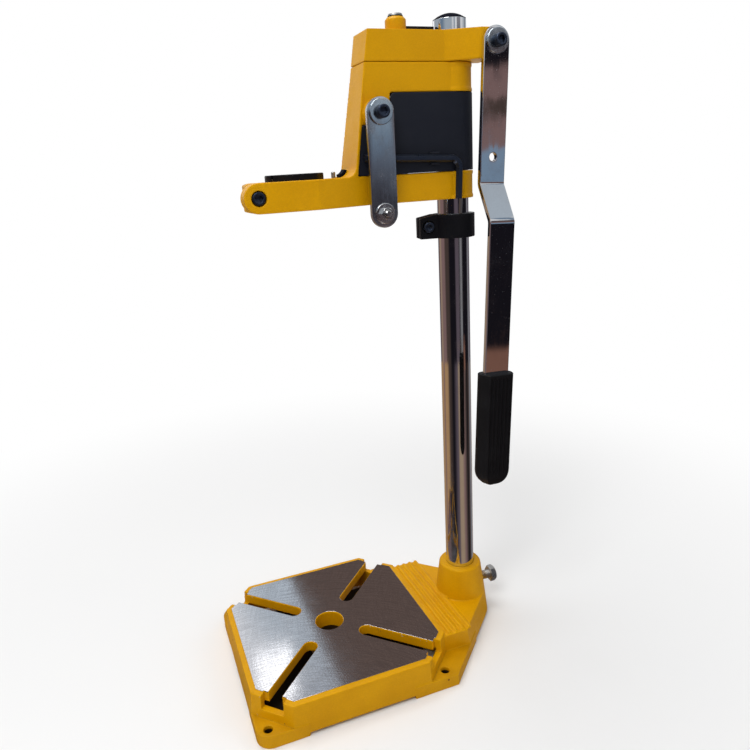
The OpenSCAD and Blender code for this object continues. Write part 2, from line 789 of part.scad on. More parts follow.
// Cover shell; the two halves meet behind the column
module cover_shell() {
  back = -throat - cover_back;
  plan = concat(
    [[0, cover_y]], arc(back + cover_r, cover_y - cover_r, cover_r, 90, 180),
    arc(back + cover_r, -(cover_y - cover_r), cover_r, 180, 270), [[0, -cover_y]]
  );
  inner_y = cover_y - cover_t;
  inner_back = back + cover_t;
  inner_r = cover_r - cover_t;
  hollow = concat(
    [[0, inner_y]], arc(inner_back + inner_r, inner_y - inner_r, inner_r, 90, 180),
    arc(inner_back + inner_r, -(inner_y - inner_r), inner_r, 180, 270), [[0, -inner_y]]
  );
  intersection() {
    difference() {
      translate([0, 0, window_z]) linear_extrude(window_h) polygon(plan);
      translate([0, 0, window_z - 1]) linear_extrude(window_h + 2) polygon(hollow);
    }
    along_y(-far_out, far_out) polygon(cover_side(cover_gap, -far_out));
  }
}

key_y = boss_r + band_out + key_af / 2 + 0.05;
clip_x = -throat + 24;
key_z = window_z + 9.2;

module key_clip() {
  clip_w = 7;
  clip_t = 1.6;
  for (s = [-1, 1])
    translate([clip_x - clip_w / 2, cover_y - 0.5, key_clip_z + s * (key_af / 2 + clip_t / 2 + 0.5) - clip_t / 2])
      cube([clip_w, key_y - cover_y + 0.5, clip_t]);
}
key_corner_x = -throat + 3.5;
key_clip_z = key_z + (clip_x - key_corner_x) * tan(key_tilt);

module near_cover() {
  color("darkslategray") {
    intersection() {
      cover_shell();
      translate([-far_out, cover_gap / 2, 0]) cube([far_out, far_out, 2 * far_out]);
    }
    key_clip();
  }
}

module far_cover() {
  color("darkslategray") intersection() {
    cover_shell();
    translate([-far_out, -far_out - cover_gap / 2, 0]) cube([far_out, far_out, 2 * far_out]);
  }
}

module sleeve(x, z, h, ro, ri) {
  translate([x, 0, z]) difference() {
    cylinder(r = ro, h = h);
    translate([0, 0, -1]) cylinder(r = ri, h = h + 2);
  }
}

module upper_bush() {
  color("tan") sleeve(-throat, window_top, carriage_top - window_top, bush_r, bore_r);
}

module lower_bush() {
  color("tan") sleeve(-throat, arm_z, lug_h, bush_r, bore_r);
}

module rod_bush() {
  color("tan") sleeve(-rod_x, window_top, carriage_top - window_top, rod_bush_r, rod_r + run_gap);
}

// Hexagon bar bent through a right angle: the long arm runs forward, the short arm down
module hex_key() {
  across = key_af / cos(30);
  color("black") translate([key_corner_x, key_y, key_z]) rotate([0, -key_tilt, 0]) {
    translate([key_bend, 0, 0]) rotate([0, 90, 0])
      cylinder(d = across, h = key_long - key_bend, $fn = 6);
    translate([key_bend, 0, -key_bend]) rotate([90, 0, 0])
      rotate([0, 0, 90]) rotate_extrude(angle = 90, $fn = 48)
        translate([key_bend, 0]) circle(d = across, $fn = 6);
    translate([0, 0, -key_short]) cylinder(d = across, h = key_short - key_bend, $fn = 6);
  }
}

module link_bush() {
  color("goldenrod") pivot_bush(-link_x, link_z, link_boss_y, link_out);
}

module link_pivot_washer() {
  color("silver") ring_y(-link_x, link_z, washer_d / 2, screw_r + fix_gap, link_out, link_out + washer_t);
}

module link_pivot_screw() {
  color("black") cap_screw_y(-link_x, link_z, link_out + washer_t, link_out + washer_t - 5);
}

module link() {
  color("slategray") difference() {
    union() {
      for (z = [link_z, link_z - link_c]) rod_y(-link_x, z, link_w / 2, link_y, link_y + link_t);
      translate([-link_x - link_w / 2, link_y, link_z - link_c]) cube([link_w, link_t, link_c]);
    }
    rod_y(-link_x, link_z, screw_r + 2 + run_gap, 0, far_out);
    rod_y(-link_x, link_z - link_c, link_bolt_d / 2 + fix_gap, 0, far_out);
  }
}

link_head_h = 3.4;
link_washer_t = 1.2;
link_nut_h = 4;
link_bolt_end = link_y + link_t + link_washer_t + link_nut_h + 2;

module link_bolt() {
  z = link_z - link_c;
  color("silver") {
    hex_y(-link_x, z, link_nut_af, link_y - link_head_h, link_y);
    rod_y(-link_x, z, link_bolt_d / 2, link_y - eps, link_bolt_end);
  }
}

module link_washer() {
  y = link_y + link_t;
  color("silver")
    ring_y(-link_x, link_z - link_c, link_washer_d / 2, link_bolt_d / 2 + fix_gap, y, y + link_washer_t);
}

module link_nut() {
  y = link_y + link_t + link_washer_t;
  color("silver") difference() {
    hex_y(-link_x, link_z - link_c, link_nut_af, y, y + link_nut_h);
    rod_y(-link_x, link_z - link_c, link_bolt_d / 2 + fix_gap, 0, far_out);
  }
}

// The lever hangs from its pivot, tilted a little forward
module hang_lever() {
  translate([pivot_x, 0, pivot_z]) rotate([0, -lever_tilt, 0]) children();
}

lever_end = grip_from + grip_len - 14;
lower_y = lever_y + bend_out;

module lever_arm() {
  bend_run = lever_t * tan(atan(bend_out / (bend_to - bend_from)) / 2);
  color("lightgray") hang_lever() difference() {
    intersection() {
      translate([-lever_w / 2, 0, 0]) rotate([90, 0, 90]) linear_extrude(lever_w) polygon([
        [lever_y, lever_w], [lever_y + lever_t, lever_w],
        [lever_y + lever_t, -bend_from + bend_run], [lower_y + lever_t, -bend_to + bend_run],
        [lower_y + lever_t, -lever_end], [lower_y, -lever_end],
        [lower_y, -bend_to], [lever_y, -bend_from]
      ]);
      along_y(0, far_out) union() {
        circle(d = lever_w);
        translate([-lever_w / 2, -lever_end]) square([lever_w, lever_end]);
      }
    }
    rod_y(0, 0, screw_r + 2 + run_gap, 0, far_out);
    rod_y(0, -lever_hole_at, lever_hole_d / 2, 0, far_out);
  }
}

module lever_grip() {
  mid_y = lower_y + lever_t / 2;
  top = -grip_from;
  bottom = top - grip_len;
  corner = 5;
  section = concat(
    arc(grip_w / 2 - corner, grip_t / 2 - corner, corner, 0, 90),
    arc(-(grip_w / 2 - corner), grip_t / 2 - corner, corner, 90, 180),
    arc(-(grip_w / 2 - corner), -(grip_t / 2 - corner), corner, 180, 270),
    arc(grip_w / 2 - corner, -(grip_t / 2 - corner), corner, 270, 360)
  );
  color("black") hang_lever() difference() {
    intersection() {
      translate([0, mid_y, bottom]) linear_extrude(grip_len) polygon(section);
      along_y(0, far_out) union() {
        translate([0, bottom + grip_w / 2]) circle(d = grip_w);
        translate([-grip_w / 2, bottom + grip_w / 2]) square([grip_w, grip_len - grip_w / 2]);
      }
    }
    // Pocket for the end of the bar
    translate([-lever_w / 2 - fix_gap, lower_y - fix_gap, -lever_end - fix_gap])
      cube([lever_w + 2 * fix_gap, lever_t + 2 * fix_gap, far_out]);
    // Lengthwise grooves on both faces
    for (i = [0:grip_grooves - 1], s = [-1, 1])
      translate([(i - (grip_grooves - 1) / 2) * (grip_w - 7) / (grip_grooves - 1) - 0.6,
                 mid_y + s * grip_t / 2 - 0.8, bottom + 12])
        cube([1.2, 1.6, grip_len - 16]);
  }
}

stop_top = arm_z - stop_gap;
stop_z = stop_top - stop_h;
stop_mid = stop_z + stop_h / 2;
stop_screw_at = stop_lug - 6.6;
stop_seat = stop_lug_half - 2.5;

module at_stop() {
  translate([-throat, 0, 0]) rotate([0, 0, -stop_turn]) children();
}

module stop_collar() {
  lug_drop = 2.4;
  color("black") at_stop() difference() {
    union() {
      translate([0, 0, stop_z]) cylinder(r = stop_r, h = stop_h);
      along_y(-stop_lug_half, stop_lug_half) polygon([
        [0, stop_z], [stop_lug, stop_z], [stop_lug, stop_top - lug_drop], [stop_r, stop_top], [0, stop_top]
      ]);
    }
    translate([0, 0, stop_z - 1]) cylinder(r = bore_r, h = stop_h + 2);
    translate([0, -stop_slit / 2, stop_z - 1]) cube([far_out, stop_slit, stop_h + 2]);
    rod_y(stop_screw_at, stop_mid, stop_screw_d / 2 + fix_gap, -stop_lug_half + 2, far_out);
    rod_y(stop_screw_at, stop_mid, stop_head_d / 2 + 0.4, stop_seat, far_out);
  }
}

module stop_collar_screw() {
  color("dimgray") at_stop()
    cap_screw_y(stop_screw_at, stop_mid, stop_seat, stop_seat + stop_lug_half - 3, 1,
      stop_screw_d, stop_head_d, screw_head_h);
}

base();
base_clamp_bolt();
column();
column_cap();
head_bracket();
head_clamp_screw();
slit_strip();
guide_rod();
rod_top_screw();
rod_end_washer();
rod_end_screw();
return_spring();
lever_pivot_screw();
lever_pivot_washer();
lever_bush();
carriage();
carriage_arm();
near_cover();
far_cover();
upper_bush();
lower_bush();
rod_bush();
collar_ring();
collar_clamp_screw();
collar_clamp_nut();
arm_stud();
arm_stop();
hex_key();
link_pivot_screw();
link_pivot_washer();
link_bush();
link();
link_bolt();
link_washer();
link_nut();
lever_arm();
lever_grip();
stop_collar();
stop_collar_screw();
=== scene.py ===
"""Looks of the bench drill stand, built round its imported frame.

Sizes are in millimetres and are turned into metres when a mesh is made.
The stand faces +X with its drill collar, and carries its lever on the +Y side.
"""

import json
import logging
import math
from dataclasses import dataclass, replace
from enum import Enum
from typing import Callable, Optional, Sequence

import bmesh
import bpy
import numpy as np
from mathutils import Matrix, Vector
from mathutils.geometry import tessellate_polygon


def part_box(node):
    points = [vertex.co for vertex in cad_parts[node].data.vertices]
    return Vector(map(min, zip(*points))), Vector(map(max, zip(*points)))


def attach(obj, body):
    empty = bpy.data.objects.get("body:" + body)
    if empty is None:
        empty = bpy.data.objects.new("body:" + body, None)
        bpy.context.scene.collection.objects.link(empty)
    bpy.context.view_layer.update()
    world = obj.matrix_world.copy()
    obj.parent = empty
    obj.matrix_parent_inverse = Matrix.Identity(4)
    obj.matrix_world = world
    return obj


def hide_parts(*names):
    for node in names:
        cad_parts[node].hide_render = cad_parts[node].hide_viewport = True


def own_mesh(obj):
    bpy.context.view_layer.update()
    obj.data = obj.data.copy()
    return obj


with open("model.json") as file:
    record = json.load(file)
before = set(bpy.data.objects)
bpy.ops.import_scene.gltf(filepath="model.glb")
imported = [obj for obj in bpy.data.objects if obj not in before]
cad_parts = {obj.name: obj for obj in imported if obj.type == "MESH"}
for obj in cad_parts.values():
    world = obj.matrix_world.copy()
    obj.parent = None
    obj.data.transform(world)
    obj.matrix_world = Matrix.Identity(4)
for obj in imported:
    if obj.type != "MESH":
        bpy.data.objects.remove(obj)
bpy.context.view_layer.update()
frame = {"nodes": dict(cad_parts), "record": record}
LOG = logging.getLogger("drill_stand")
MM = 0.001
BODY_OF = {n: b for b, nodes in frame["record"]["behaviour"]["bodies"].items() for n in nodes}
COLUMN_X = -130.0
FOOT_HOLES = tuple((x, y) for x in (74.0, -74.0) for y in (75.0, -75.0))

Point = tuple[float, float, float]
Colour = tuple[float, float, float]
Ring = np.ndarray
Piece = bpy.types.Object
Socket = bpy.types.NodeSocket
Sockets = dict[str, Socket]


class Axis(Enum):
    """Directions that turned pieces point along, each with a direction across it."""

    UP = ((0.0, 0.0, 1.0), (1.0, 0.0, 0.0))
    NEAR = ((0.0, 1.0, 0.0), (1.0, 0.0, 0.0))
    FAR = ((0.0, -1.0, 0.0), (1.0, 0.0, 0.0))
    REAR = ((-1.0, 0.0, 0.0), (0.0, 1.0, 0.0))


class Lay(Enum):
    """Directions that the marks of a tool run along, as scales across X, Y and Z."""

    UPRIGHT = (1.0, 1.0, 0.03)
    ROUND = (0.25, 0.25, 0.25)


# ---------------------------------------------------------------- measures and outlines


@dataclass(frozen=True)
class Extent:
    """Box that a CAD node fills, in mm, from its lowest to its highest corner."""

    low: np.ndarray
    high: np.ndarray

    @property
    def size(self) -> np.ndarray:
        """Returns its lengths along X, Y and Z."""
        return self.high - self.low

    @property
    def middle(self) -> np.ndarray:
        """Returns its middle."""
        return (self.low + self.high) / 2

    @property
    def radius(self) -> float:
        """Returns half its length along X."""
        return self.size[0] / 2


def cad(node: str) -> Extent:
    """Measures a CAD node."""
    return Extent(*(np.array(corner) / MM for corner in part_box(node)))


@dataclass(frozen=True)
class Seat:
    """A place and two directions that a turned piece is built on.

    Args:
        origin: where the piece's own height 0 is.
        along: direction of its axis.
        across: direction of its angle 0.
        points: number of points in each ring round it.
    """

    origin: Point
    along: Point = Axis.UP.value[0]
    across: Point = Axis.UP.value[1]
    points: int = 96

    @classmethod
    def on(cls, origin: Point, axis: Axis) -> "Seat":
        """Returns a seat on one of the named axes."""
        return cls(origin, *axis.value)

    def ring(self, radius: float | np.ndarray, height: float) -> Ring:
        """Places one ring of points round the axis.

        Args:
            radius: one radius, or one for each point.
            height: height along the axis.

        Returns:
            The points.
        """
        turn = np.arange(self.points) * 2 * math.pi / self.points
        u, w = np.array(self.across), np.array(self.along)
        r = np.broadcast_to(np.asarray(radius, float), (self.points,))
        return (np.array(self.origin) + np.outer(r * np.cos(turn), u)
                + np.outer(r * np.sin(turn), np.cross(w, u)) + height * w)

    def rings(self, profile: Sequence[Sequence[float | np.ndarray]]) -> list[Ring]:
        """Places a ring for each radius and height of a profile."""
        return [self.ring(radius, height) for radius, height in profile]


def hexagon(flats: float, count: int = 96) -> np.ndarray:
    """Returns the radius of a hexagon at each of count angles, with a corner at angle 0."""
    turn = np.arange(count) * 2 * math.pi / count
    return flats / 2 / np.cos(np.mod(turn, math.pi / 3) - math.pi / 6)


def arc(x: float, y: float, radius: float, start: float, end: float, count: int) -> np.ndarray:
    """Returns flat points on a circle, from one angle to another in degrees."""
    turn = np.radians(np.linspace(start, end, count))
    return np.column_stack([x + radius * np.cos(turn), y + radius * np.sin(turn)])


def circle(x: float, y: float, radius: float, count: int = 48) -> np.ndarray:
    """Returns a flat circle of points, counter-clockwise."""
    return arc(x, y, radius, 0, 360, count + 1)[:-1]


def rectangle(x_low: float, y_low: float, x_high: float, y_high: float) -> list[tuple[float, float]]:
    """Returns the corners of a rectangle, counter-clockwise."""
    return [(x_low, y_low), (x_high, y_low), (x_high, y_high), (x_low, y_high)]


def upright(points: np.ndarray) -> np.ndarray:
    """Stands a flat plate up, so that its thickness lies along Y."""
    return points[:, [0, 2, 1]]


def fillet(points: Sequence[Sequence[float]], radius: float | Sequence[float], steps: int = 3,
           closed: bool = True) -> np.ndarray:
    """Rounds the corners of a flat outline.

    Args:
        points: the corners.
        radius: one radius for all corners, or one for each.
        steps: steps in each round.
        closed: whether the last corner joins the first.

    Returns:
        The rounded outline.
    """
    corner = [np.array(p, float) for p in points]
    nearly_straight = math.radians(89)
    made: list[np.ndarray] = []
    for i, here in enumerate(corner):
        size = radius[i] if isinstance(radius, (list, tuple)) else radius
        if size <= 0 or (not closed and i in (0, len(corner) - 1)):
            made.append(here)
            continue
        back, ahead = corner[i - 1] - here, corner[(i + 1) % len(corner)] - here
        far_back, far_ahead = np.linalg.norm(back), np.linalg.norm(ahead)
        back, ahead = back / far_back, ahead / far_ahead
        half = math.acos(float(np.clip(back @ ahead, -1, 1))) / 2
        if half > nearly_straight:
            made.append(here)
            continue
        reach = min(size / math.tan(half), 0.49 * far_back, 0.49 * far_ahead)
        size = reach * math.tan(half)
        centre = here + (back + ahead) / np.linalg.norm(back + ahead) * size / math.sin(half)
        first, last = here + back * reach - centre, here + ahead * reach - centre
        start = math.degrees(math.atan2(first[1], first[0]))
        swing = math.remainder(math.degrees(math.atan2(last[1], last[0])) - start, 360)
        made += [*arc(*centre, size, start, start + swing, steps + 1)]
    return np.array(made)


def area(loop: np.ndarray) -> float:
    """Returns the signed area of a flat outline, above 0 where it runs counter-clockwise."""
    x, y = loop[:, 0], loop[:, 1]
    return float(np.sum(x * np.roll(y, -1) - np.roll(x, -1) * y) / 2)


def inset(loop: np.ndarray, depth: float) -> np.ndarray:
    """Moves a flat outline sideways, with mitred corners.

    Args:
        loop: the outline.
        depth: how far it moves to its left.

    Returns:
        The moved outline.
    """
    ahead = np.roll(loop, -1, 0) - loop
    ahead /= np.maximum(np.linalg.norm(ahead, axis=1, keepdims=True), 1e-9)
    left = np.column_stack([-ahead[:, 1], ahead[:, 0]])
    before = np.roll(left, 1, 0)
    mitre = np.maximum(1 + np.sum(left * before, axis=1, keepdims=True), 0.35)
    return loop + depth * (left + before) / mitre


# ---------------------------------------------------------------- mesh tools


def placed(name: str, data: bpy.types.ID) -> Piece:
    """Puts an object into the scene.

    Args:
        name: its name.
        data: its mesh, lamp or camera.

    Returns:
        The object.
    """
    made = bpy.data.objects.new(name, data)
    bpy.context.scene.collection.objects.link(made)
    return made


def settle(made: Piece, weight: int, keep_sharp: bool) -> Piece:
    """Evens a piece's normals, turns its modifiers into its mesh, and logs it.

    Args:
        made: the piece.
        weight: how far large faces lead the normals.
        keep_sharp: whether its sharp edges stay sharp.

    Returns:
        The piece.
    """
    flat = made.modifiers.new("flat", "WEIGHTED_NORMAL")
    flat.weight, flat.keep_sharp = weight, keep_sharp
    rough, name = made.data, made.data.name
    final = bpy.data.meshes.new_from_object(made.evaluated_get(bpy.context.evaluated_depsgraph_get()))
    made.modifiers.clear()
    made.data = final
    bpy.data.meshes.remove(rough)
    final.name = name
    LOG.info("%s: %d faces", name, len(final.polygons))
    return made


class Solid:
    """Collects the points and faces of one piece, in mm, and makes its object."""

    def __init__(self) -> None:
        """Starts with no points."""
        self.points: list[np.ndarray] = []
        self.faces: list[tuple[int, ...]] = []

    def add(self, points: np.ndarray) -> int:
        """Adds points.

        Args:
            points: their places.

        Returns:
            The index of the first.
        """
        start = sum(len(p) for p in self.points)
        self.points.append(np.asarray(points, float))
        return start

    def band(self, a: int, b: int, count: int) -> None:
        """Joins two rings of points by faces, from the index of each ring's first point."""
        self.faces += [(a + k, a + (k + 1) % count, b + (k + 1) % count, b + k) for k in range(count)]

    def loft(self, rings: Sequence[Ring], wrap: bool = False) -> "Solid":
        """Joins rings of equally many points, with a cap at each end.

        Args:
            rings: the rings in order.
            wrap: whether the last ring joins the first, which leaves out the caps.

        Returns:
            This solid.
        """
        count, start = len(rings[0]), self.add(np.vstack(rings))
        for i in range(len(rings) if wrap else len(rings) - 1):
            self.band(start + i * count, start + (i + 1) % len(rings) * count, count)
        if not wrap:
            self.faces.append(tuple(range(start + count - 1, start - 1, -1)))
            top = start + (len(rings) - 1) * count
            self.faces.append(tuple(range(top, top + count)))
        return self

    def turn(self, seat: Seat, profile: Sequence[Sequence[float]], wrap: bool = False) -> "Solid":
        """Turns a profile of radius and height round a seat's axis, and returns this solid."""
        return self.loft(seat.rings(profile), wrap)

    def plate(self, loops: Sequence[np.ndarray], low: float, high: float, edge: float,
              cuts: Sequence[tuple[int, float]] = (), shape: Callable[[np.ndarray], np.ndarray] = np.array,
              steps: int = 2) -> "Solid":
        """Adds a plate with holes and rounded edges.

        Args:
            loops: the outline, then the holes, as flat points.
            low: height of the lower face.
            high: height of the upper face.
            edge: radius of the edges.
            cuts: coordinate and value of planes that divide the plate before it is shaped.
            shape: takes flat points with a height, and returns where they are in space.
            steps: steps in each rounded edge.

        Returns:
            This solid.
        """
        ways = [loop if (area(loop) > 0) == (i == 0) else loop[::-1] for i, loop in enumerate(loops)]
        angle = [math.pi / 2 * k / steps for k in range(steps + 1)]
        levels = [(edge * (1 - math.sin(a)), low + edge * (1 - math.cos(a))) for a in angle]
        levels += [(i, low + high - h) for i, h in reversed(levels)]
        sheet = Solid()
        starts = []
        for depth, height in levels:
            flat = [inset(w, depth) for w in ways]
            starts.append(sheet.add(np.vstack([np.column_stack([f, np.full(len(f), height)]) for f in flat])))
        offset = 0
        for way in ways:
            for a, b in zip(starts, starts[1:]):
                sheet.band(a + offset, b + offset, len(way))
            offset += len(way)
        for level, start in ((0, starts[0]), (-1, starts[-1])):
            flat = [[Vector((*p, 0.0)) for p in inset(w, levels[level][0])] for w in ways]
            sheet.faces += [tuple(start + i for i in t) for t in tessellate_polygon(flat)]
        if cuts:
            sheet = sheet.divided(cuts)
        start = self.add(shape(np.vstack(sheet.points)))
        self.faces += [tuple(start + i for i in f) for f in sheet.faces]
        return self

    def divided(self, cuts: Sequence[tuple[int, float]]) -> "Solid":
        """Divides the solid by planes.

        Args:
            cuts: coordinate that each plane is square to, and its value.

        Returns:
            A divided copy.
        """
        mesh = self.mesh("divided", 1.0)
        work = bmesh.new()
        work.from_mesh(mesh)
        for axis, value in cuts:
            normal = np.eye(3)[axis]
            bmesh.ops.bisect_plane(work, geom=work.verts[:] + work.edges[:] + work.faces[:],
                                   plane_co=value * normal, plane_no=normal, dist=1e-5)
        work.verts.ensure_lookup_table()
        made = Solid()
        made.add(np.array([v.co for v in work.verts]))
        made.faces = [tuple(v.index for v in f.verts) for f in work.faces]
        work.free()
        bpy.data.meshes.remove(mesh)
        return made

    def sweep(self, path: np.ndarray, section: np.ndarray, up: Point) -> "Solid":
        """Draws a flat section along a path.

        Args:
            path: the points of the path.
            section: the section's points, sideways and upwards.
            up: direction that the section's second coordinate starts on.

        Returns:
            This solid.
        """
        ahead = np.gradient(path, axis=0)
        ahead /= np.linalg.norm(ahead, axis=1, keepdims=True)
        lift = np.array(up, float)
        rings = []
        for place, way in zip(path, ahead):
            lift = lift - way * (lift @ way)
            lift /= np.linalg.norm(lift)
            rings.append(place + np.outer(section[:, 0], np.cross(way, lift)) + np.outer(section[:, 1], lift))
        return self.loft(rings)

    def mesh(self, name: str, scale: float = MM) -> bpy.types.Mesh:
        """Makes a closed mesh with its faces turned outwards.

        Args:
            name: the mesh's name.
            scale: what each mm becomes.

        Returns:
            The mesh.
        """
        mesh = bpy.data.meshes.new(name)
        mesh.from_pydata((np.vstack(self.points) * scale).tolist(), [], self.faces)
        work = bmesh.new()
        work.from_mesh(mesh)
        bmesh.ops.recalc_face_normals(work, faces=work.faces[:])
        work.to_mesh(mesh)
        work.free()
        return mesh

    def piece(self, name: str, sharp: float = 34.0) -> Piece:
        """Makes the object, shaded smooth but for edges sharper than an angle.

        Args:
            name: the piece's name.
            sharp: that angle, in degrees.

        Returns:
            The object, not yet dressed.
        """
        mesh = self.mesh(name)
        mesh.shade_smooth()
        mesh.set_sharp_from_angle(angle=math.radians(sharp))
        return settle(placed(name, mesh), 90, True)


@dataclass(frozen=True)
class CastSkin:
    """Soft skin of a cast or moulded piece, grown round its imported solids.

    Args:
        nodes: the CAD nodes that the casting is packed as.
        grain: size of the skin's cells, in mm.
        soften: rounds of smoothing, which round the edges.
        keep: share of the faces that is kept.
    """

    nodes: tuple[str, ...]
    grain: float
    soften: int
    keep: float

    def grow(self, name: str, reshape: Optional[Callable[[np.ndarray], np.ndarray]] = None) -> Piece:
        """Makes the skin.

        Args:
            name: the piece's name.
            reshape: takes the solids' points in mm and returns where they go.

        Returns:
            The object, not yet dressed.
        """
        mesh = bpy.data.meshes.new(name)
        work = bmesh.new()
        for node in self.nodes:
            work.from_mesh(frame["nodes"][node].data)
        bmesh.ops.remove_doubles(work, verts=work.verts[:], dist=1e-7)
        if reshape:
            moved = reshape(np.array([v.co for v in work.verts]) / MM) * MM
            for v, p in zip(work.verts, moved):
                v.co = p
        work.to_mesh(mesh)
        work.free()
        made = placed(name, mesh)
        coarse = 1.0
        cells = made.modifiers.new("cells", "REMESH")
        cells.mode, cells.voxel_size, cells.use_smooth_shade = "VOXEL", self.grain * coarse * MM, True
        soft = made.modifiers.new("soft", "SMOOTH")
        soft.factor, soft.iterations = 0.5, self.soften
        lean = made.modifiers.new("lean", "DECIMATE")
        lean.ratio = min(1.0, self.keep * coarse)
        return settle(made, 80, False)


# ---------------------------------------------------------------- shader tools


class Wiring:
    """Places and joins the nodes of one shader tree."""

    def __init__(self, tree: bpy.types.NodeTree) -> None:
        """Works on a tree."""
        self.tree = tree

    @classmethod
    def blank(cls, made: bpy.types.Material | bpy.types.World) -> "Wiring":
        """Empties the tree of a material or a world.

        Args:
            made: the material or the world.

        Returns:
            The wiring of its tree.
        """
        made.use_nodes = True
        made.node_tree.nodes.clear()
        return cls(made.node_tree)

    def node(self, kind: str, inputs: Optional[dict] = None, **settings: object) -> bpy.types.Node:
        """Adds a node.

        Args:
            kind: its type, without the words ShaderNode.
            inputs: a value or a socket for each named input.
            settings: the node's own settings.

        Returns:
            The node.
        """
        made = self.tree.nodes.new("ShaderNode" + kind)
        for key, value in settings.items():
            setattr(made, key, value)
        for key, value in (inputs or {}).items():
            socket = made.inputs[key]
            if isinstance(value, Socket):
                self.tree.links.new(value, socket)
            else:
                socket.default_value = (*value, 1.0) if socket.type == "RGBA" else value
        return made

    def math(self, operation: str, a: object, b: object = 0.0) -> Socket:
        """Returns the result of a sum on two values or sockets."""
        return self.node("Math", {0: a, 1: b}, operation=operation).outputs[0]

    def add(self, a: object, b: object) -> Socket:
        """Returns two values or sockets added."""
        return self.math("ADD", a, b)

    def times(self, a: object, b: object) -> Socket:
        """Returns two values or sockets multiplied."""
        return self.math("MULTIPLY", a, b)

    def below(self, a: object, b: object) -> Socket:
        """Returns 1 where the first is less than the second, and 0 elsewhere."""
        return self.math("LESS_THAN", a, b)

    def span(self, value: object, low: float, high: float, to_low: float = 0.0, to_high: float = 1.0,
             way: str = "SMOOTHSTEP") -> Socket:
        """Moves a value from one span to another, and holds it inside that one.

        Args:
            value: the value.
            low: start of its own span.
            high: end of its own span.
            to_low: start of the other span.
            to_high: end of the other span.
            way: how it moves between the ends.

        Returns:
            The moved value.
        """
        ends = {"Value": value, "From Min": low, "From Max": high, "To Min": to_low, "To Max": to_high}
        return self.node("MapRange", ends, interpolation_type=way).outputs["Result"]

    def mix(self, share: object, a: object, b: object) -> Socket:
        """Returns a colour between two, by a share."""
        return self.node("Mix", {0: share, 6: a, 7: b}, data_type="RGBA").outputs[2]

    def place(self, stretch: Point = (1.0, 1.0, 1.0)) -> Socket:
        """Returns the place on the piece in mm, stretched along the axes."""
        spot = self.node("TexCoord").outputs["Object"]
        return self.node("Mapping", {"Vector": spot, "Scale": tuple(s / MM for s in stretch)}).outputs["Vector"]

    def part(self, vector: Socket, index: int) -> Socket:
        """Returns one coordinate of a vector."""
        return self.node("SeparateXYZ", {0: vector}).outputs[index]

    def facing(self, index: int) -> Socket:
        """Returns one coordinate of the way that the surface faces."""
        return self.part(self.node("NewGeometry").outputs["Normal"], index)

    def distance(self, a: object, b: object) -> Socket:
        """Returns how far one place is from another."""
        return self.node("VectorMath", {0: a, 1: b}, operation="DISTANCE").outputs["Value"]

    def noise(self, where: Socket, size: float, detail: float = 3.0, rough: float = 0.55) -> Socket:
        """Returns cloudy values whose clouds are about a size across, in mm."""
        return self.node("TexNoise", {"Vector": where, "Scale": 1 / size, "Detail": detail,
                                      "Roughness": rough}).outputs["Fac"]

    def bump(self, height: Socket, depth: float) -> Socket:
        """Returns the normal that a height gives, where 1 stands for a depth in mm."""
        return self.node("Bump", {"Height": height, "Distance": depth * MM, "Strength": 1.0}).outputs["Normal"]


@dataclass(frozen=True)
class Effect:
    """Something that several finishes share, as a node group that is built once.

    Args:
        fill: adds the group's nodes, and returns a socket for each output.
        takes: the group's inputs with their usual values.
    """

    fill: Callable[..., Sockets]
    takes: dict[str, float]

    def build(self, name: str, options: Sequence[Enum]) -> bpy.types.NodeTree:
        """Builds the group.

        Args:
            name: the group's name.
            options: what the effect is made for.

        Returns:
            The group.
        """
        tree = bpy.data.node_groups.new(name, "ShaderNodeTree")
        for key, value in self.takes.items():
            socket = tree.interface.new_socket(name=key, in_out="INPUT", socket_type="NodeSocketFloat")
            socket.default_value = value
        made = self.fill(Wiring(tree), tree.nodes.new("NodeGroupInput").outputs, *options)
        for key in made:
            tree.interface.new_socket(name=key, in_out="OUTPUT", socket_type="NodeSocketFloat")
        end = tree.nodes.new("NodeGroupOutput")
        for key, socket in made.items():
            tree.links.new(socket, end.inputs[key])
        return tree

    def put(self, w: Wiring, *options: Enum, **values: float) -> Sockets:
        """Puts the group into a tree.

        Args:
            w: the tree's wiring.
            options: what the effect is made for, each with a group of its own.
            values: the group's inputs that aren't as usual.

        Returns:
            The group's outputs.
        """
        name = "_".join([self.fill.__name__, *(option.name.lower() for option in options)])
        tree = bpy.data.node_groups.get(name) or self.build(name, options)
        return w.node("Group", values, node_tree=tree).outputs


def effect(**takes: float) -> Callable[[Callable[..., Sockets]], Effect]:
    """Makes an effect of the function below, with these inputs and their usual values."""
    return lambda fill: Effect(fill, takes)


@effect(Grain=0.4, Lumps=1.0, Pits=0.1)
def cast_grain(w: Wiring, given: Sockets) -> Sockets:
    """Adds the grain, lumps and mottling of a painted casting.

    Args:
        w: the group's wiring.
        given: its inputs.

    Returns:
        Its outputs.
    """
    where = w.place()
    grain = w.noise(where, 1.1, 3.0, 0.6)
    lumps = w.noise(where, 6.5, 2.0, 0.5)
    cells = w.node("TexVoronoi", {"Vector": where, "Scale": 0.42, "Randomness": 1.0})
    height = w.add(w.times(grain, given["Grain"]), w.times(lumps, given["Lumps"]))
    height = w.add(height, w.times(w.span(cells.outputs[0], 0.02, 0.22), given["Pits"]))
    return {"Height": height, "Mottle": w.noise(where, 26.0, 3.0, 0.5), "Fine": grain}


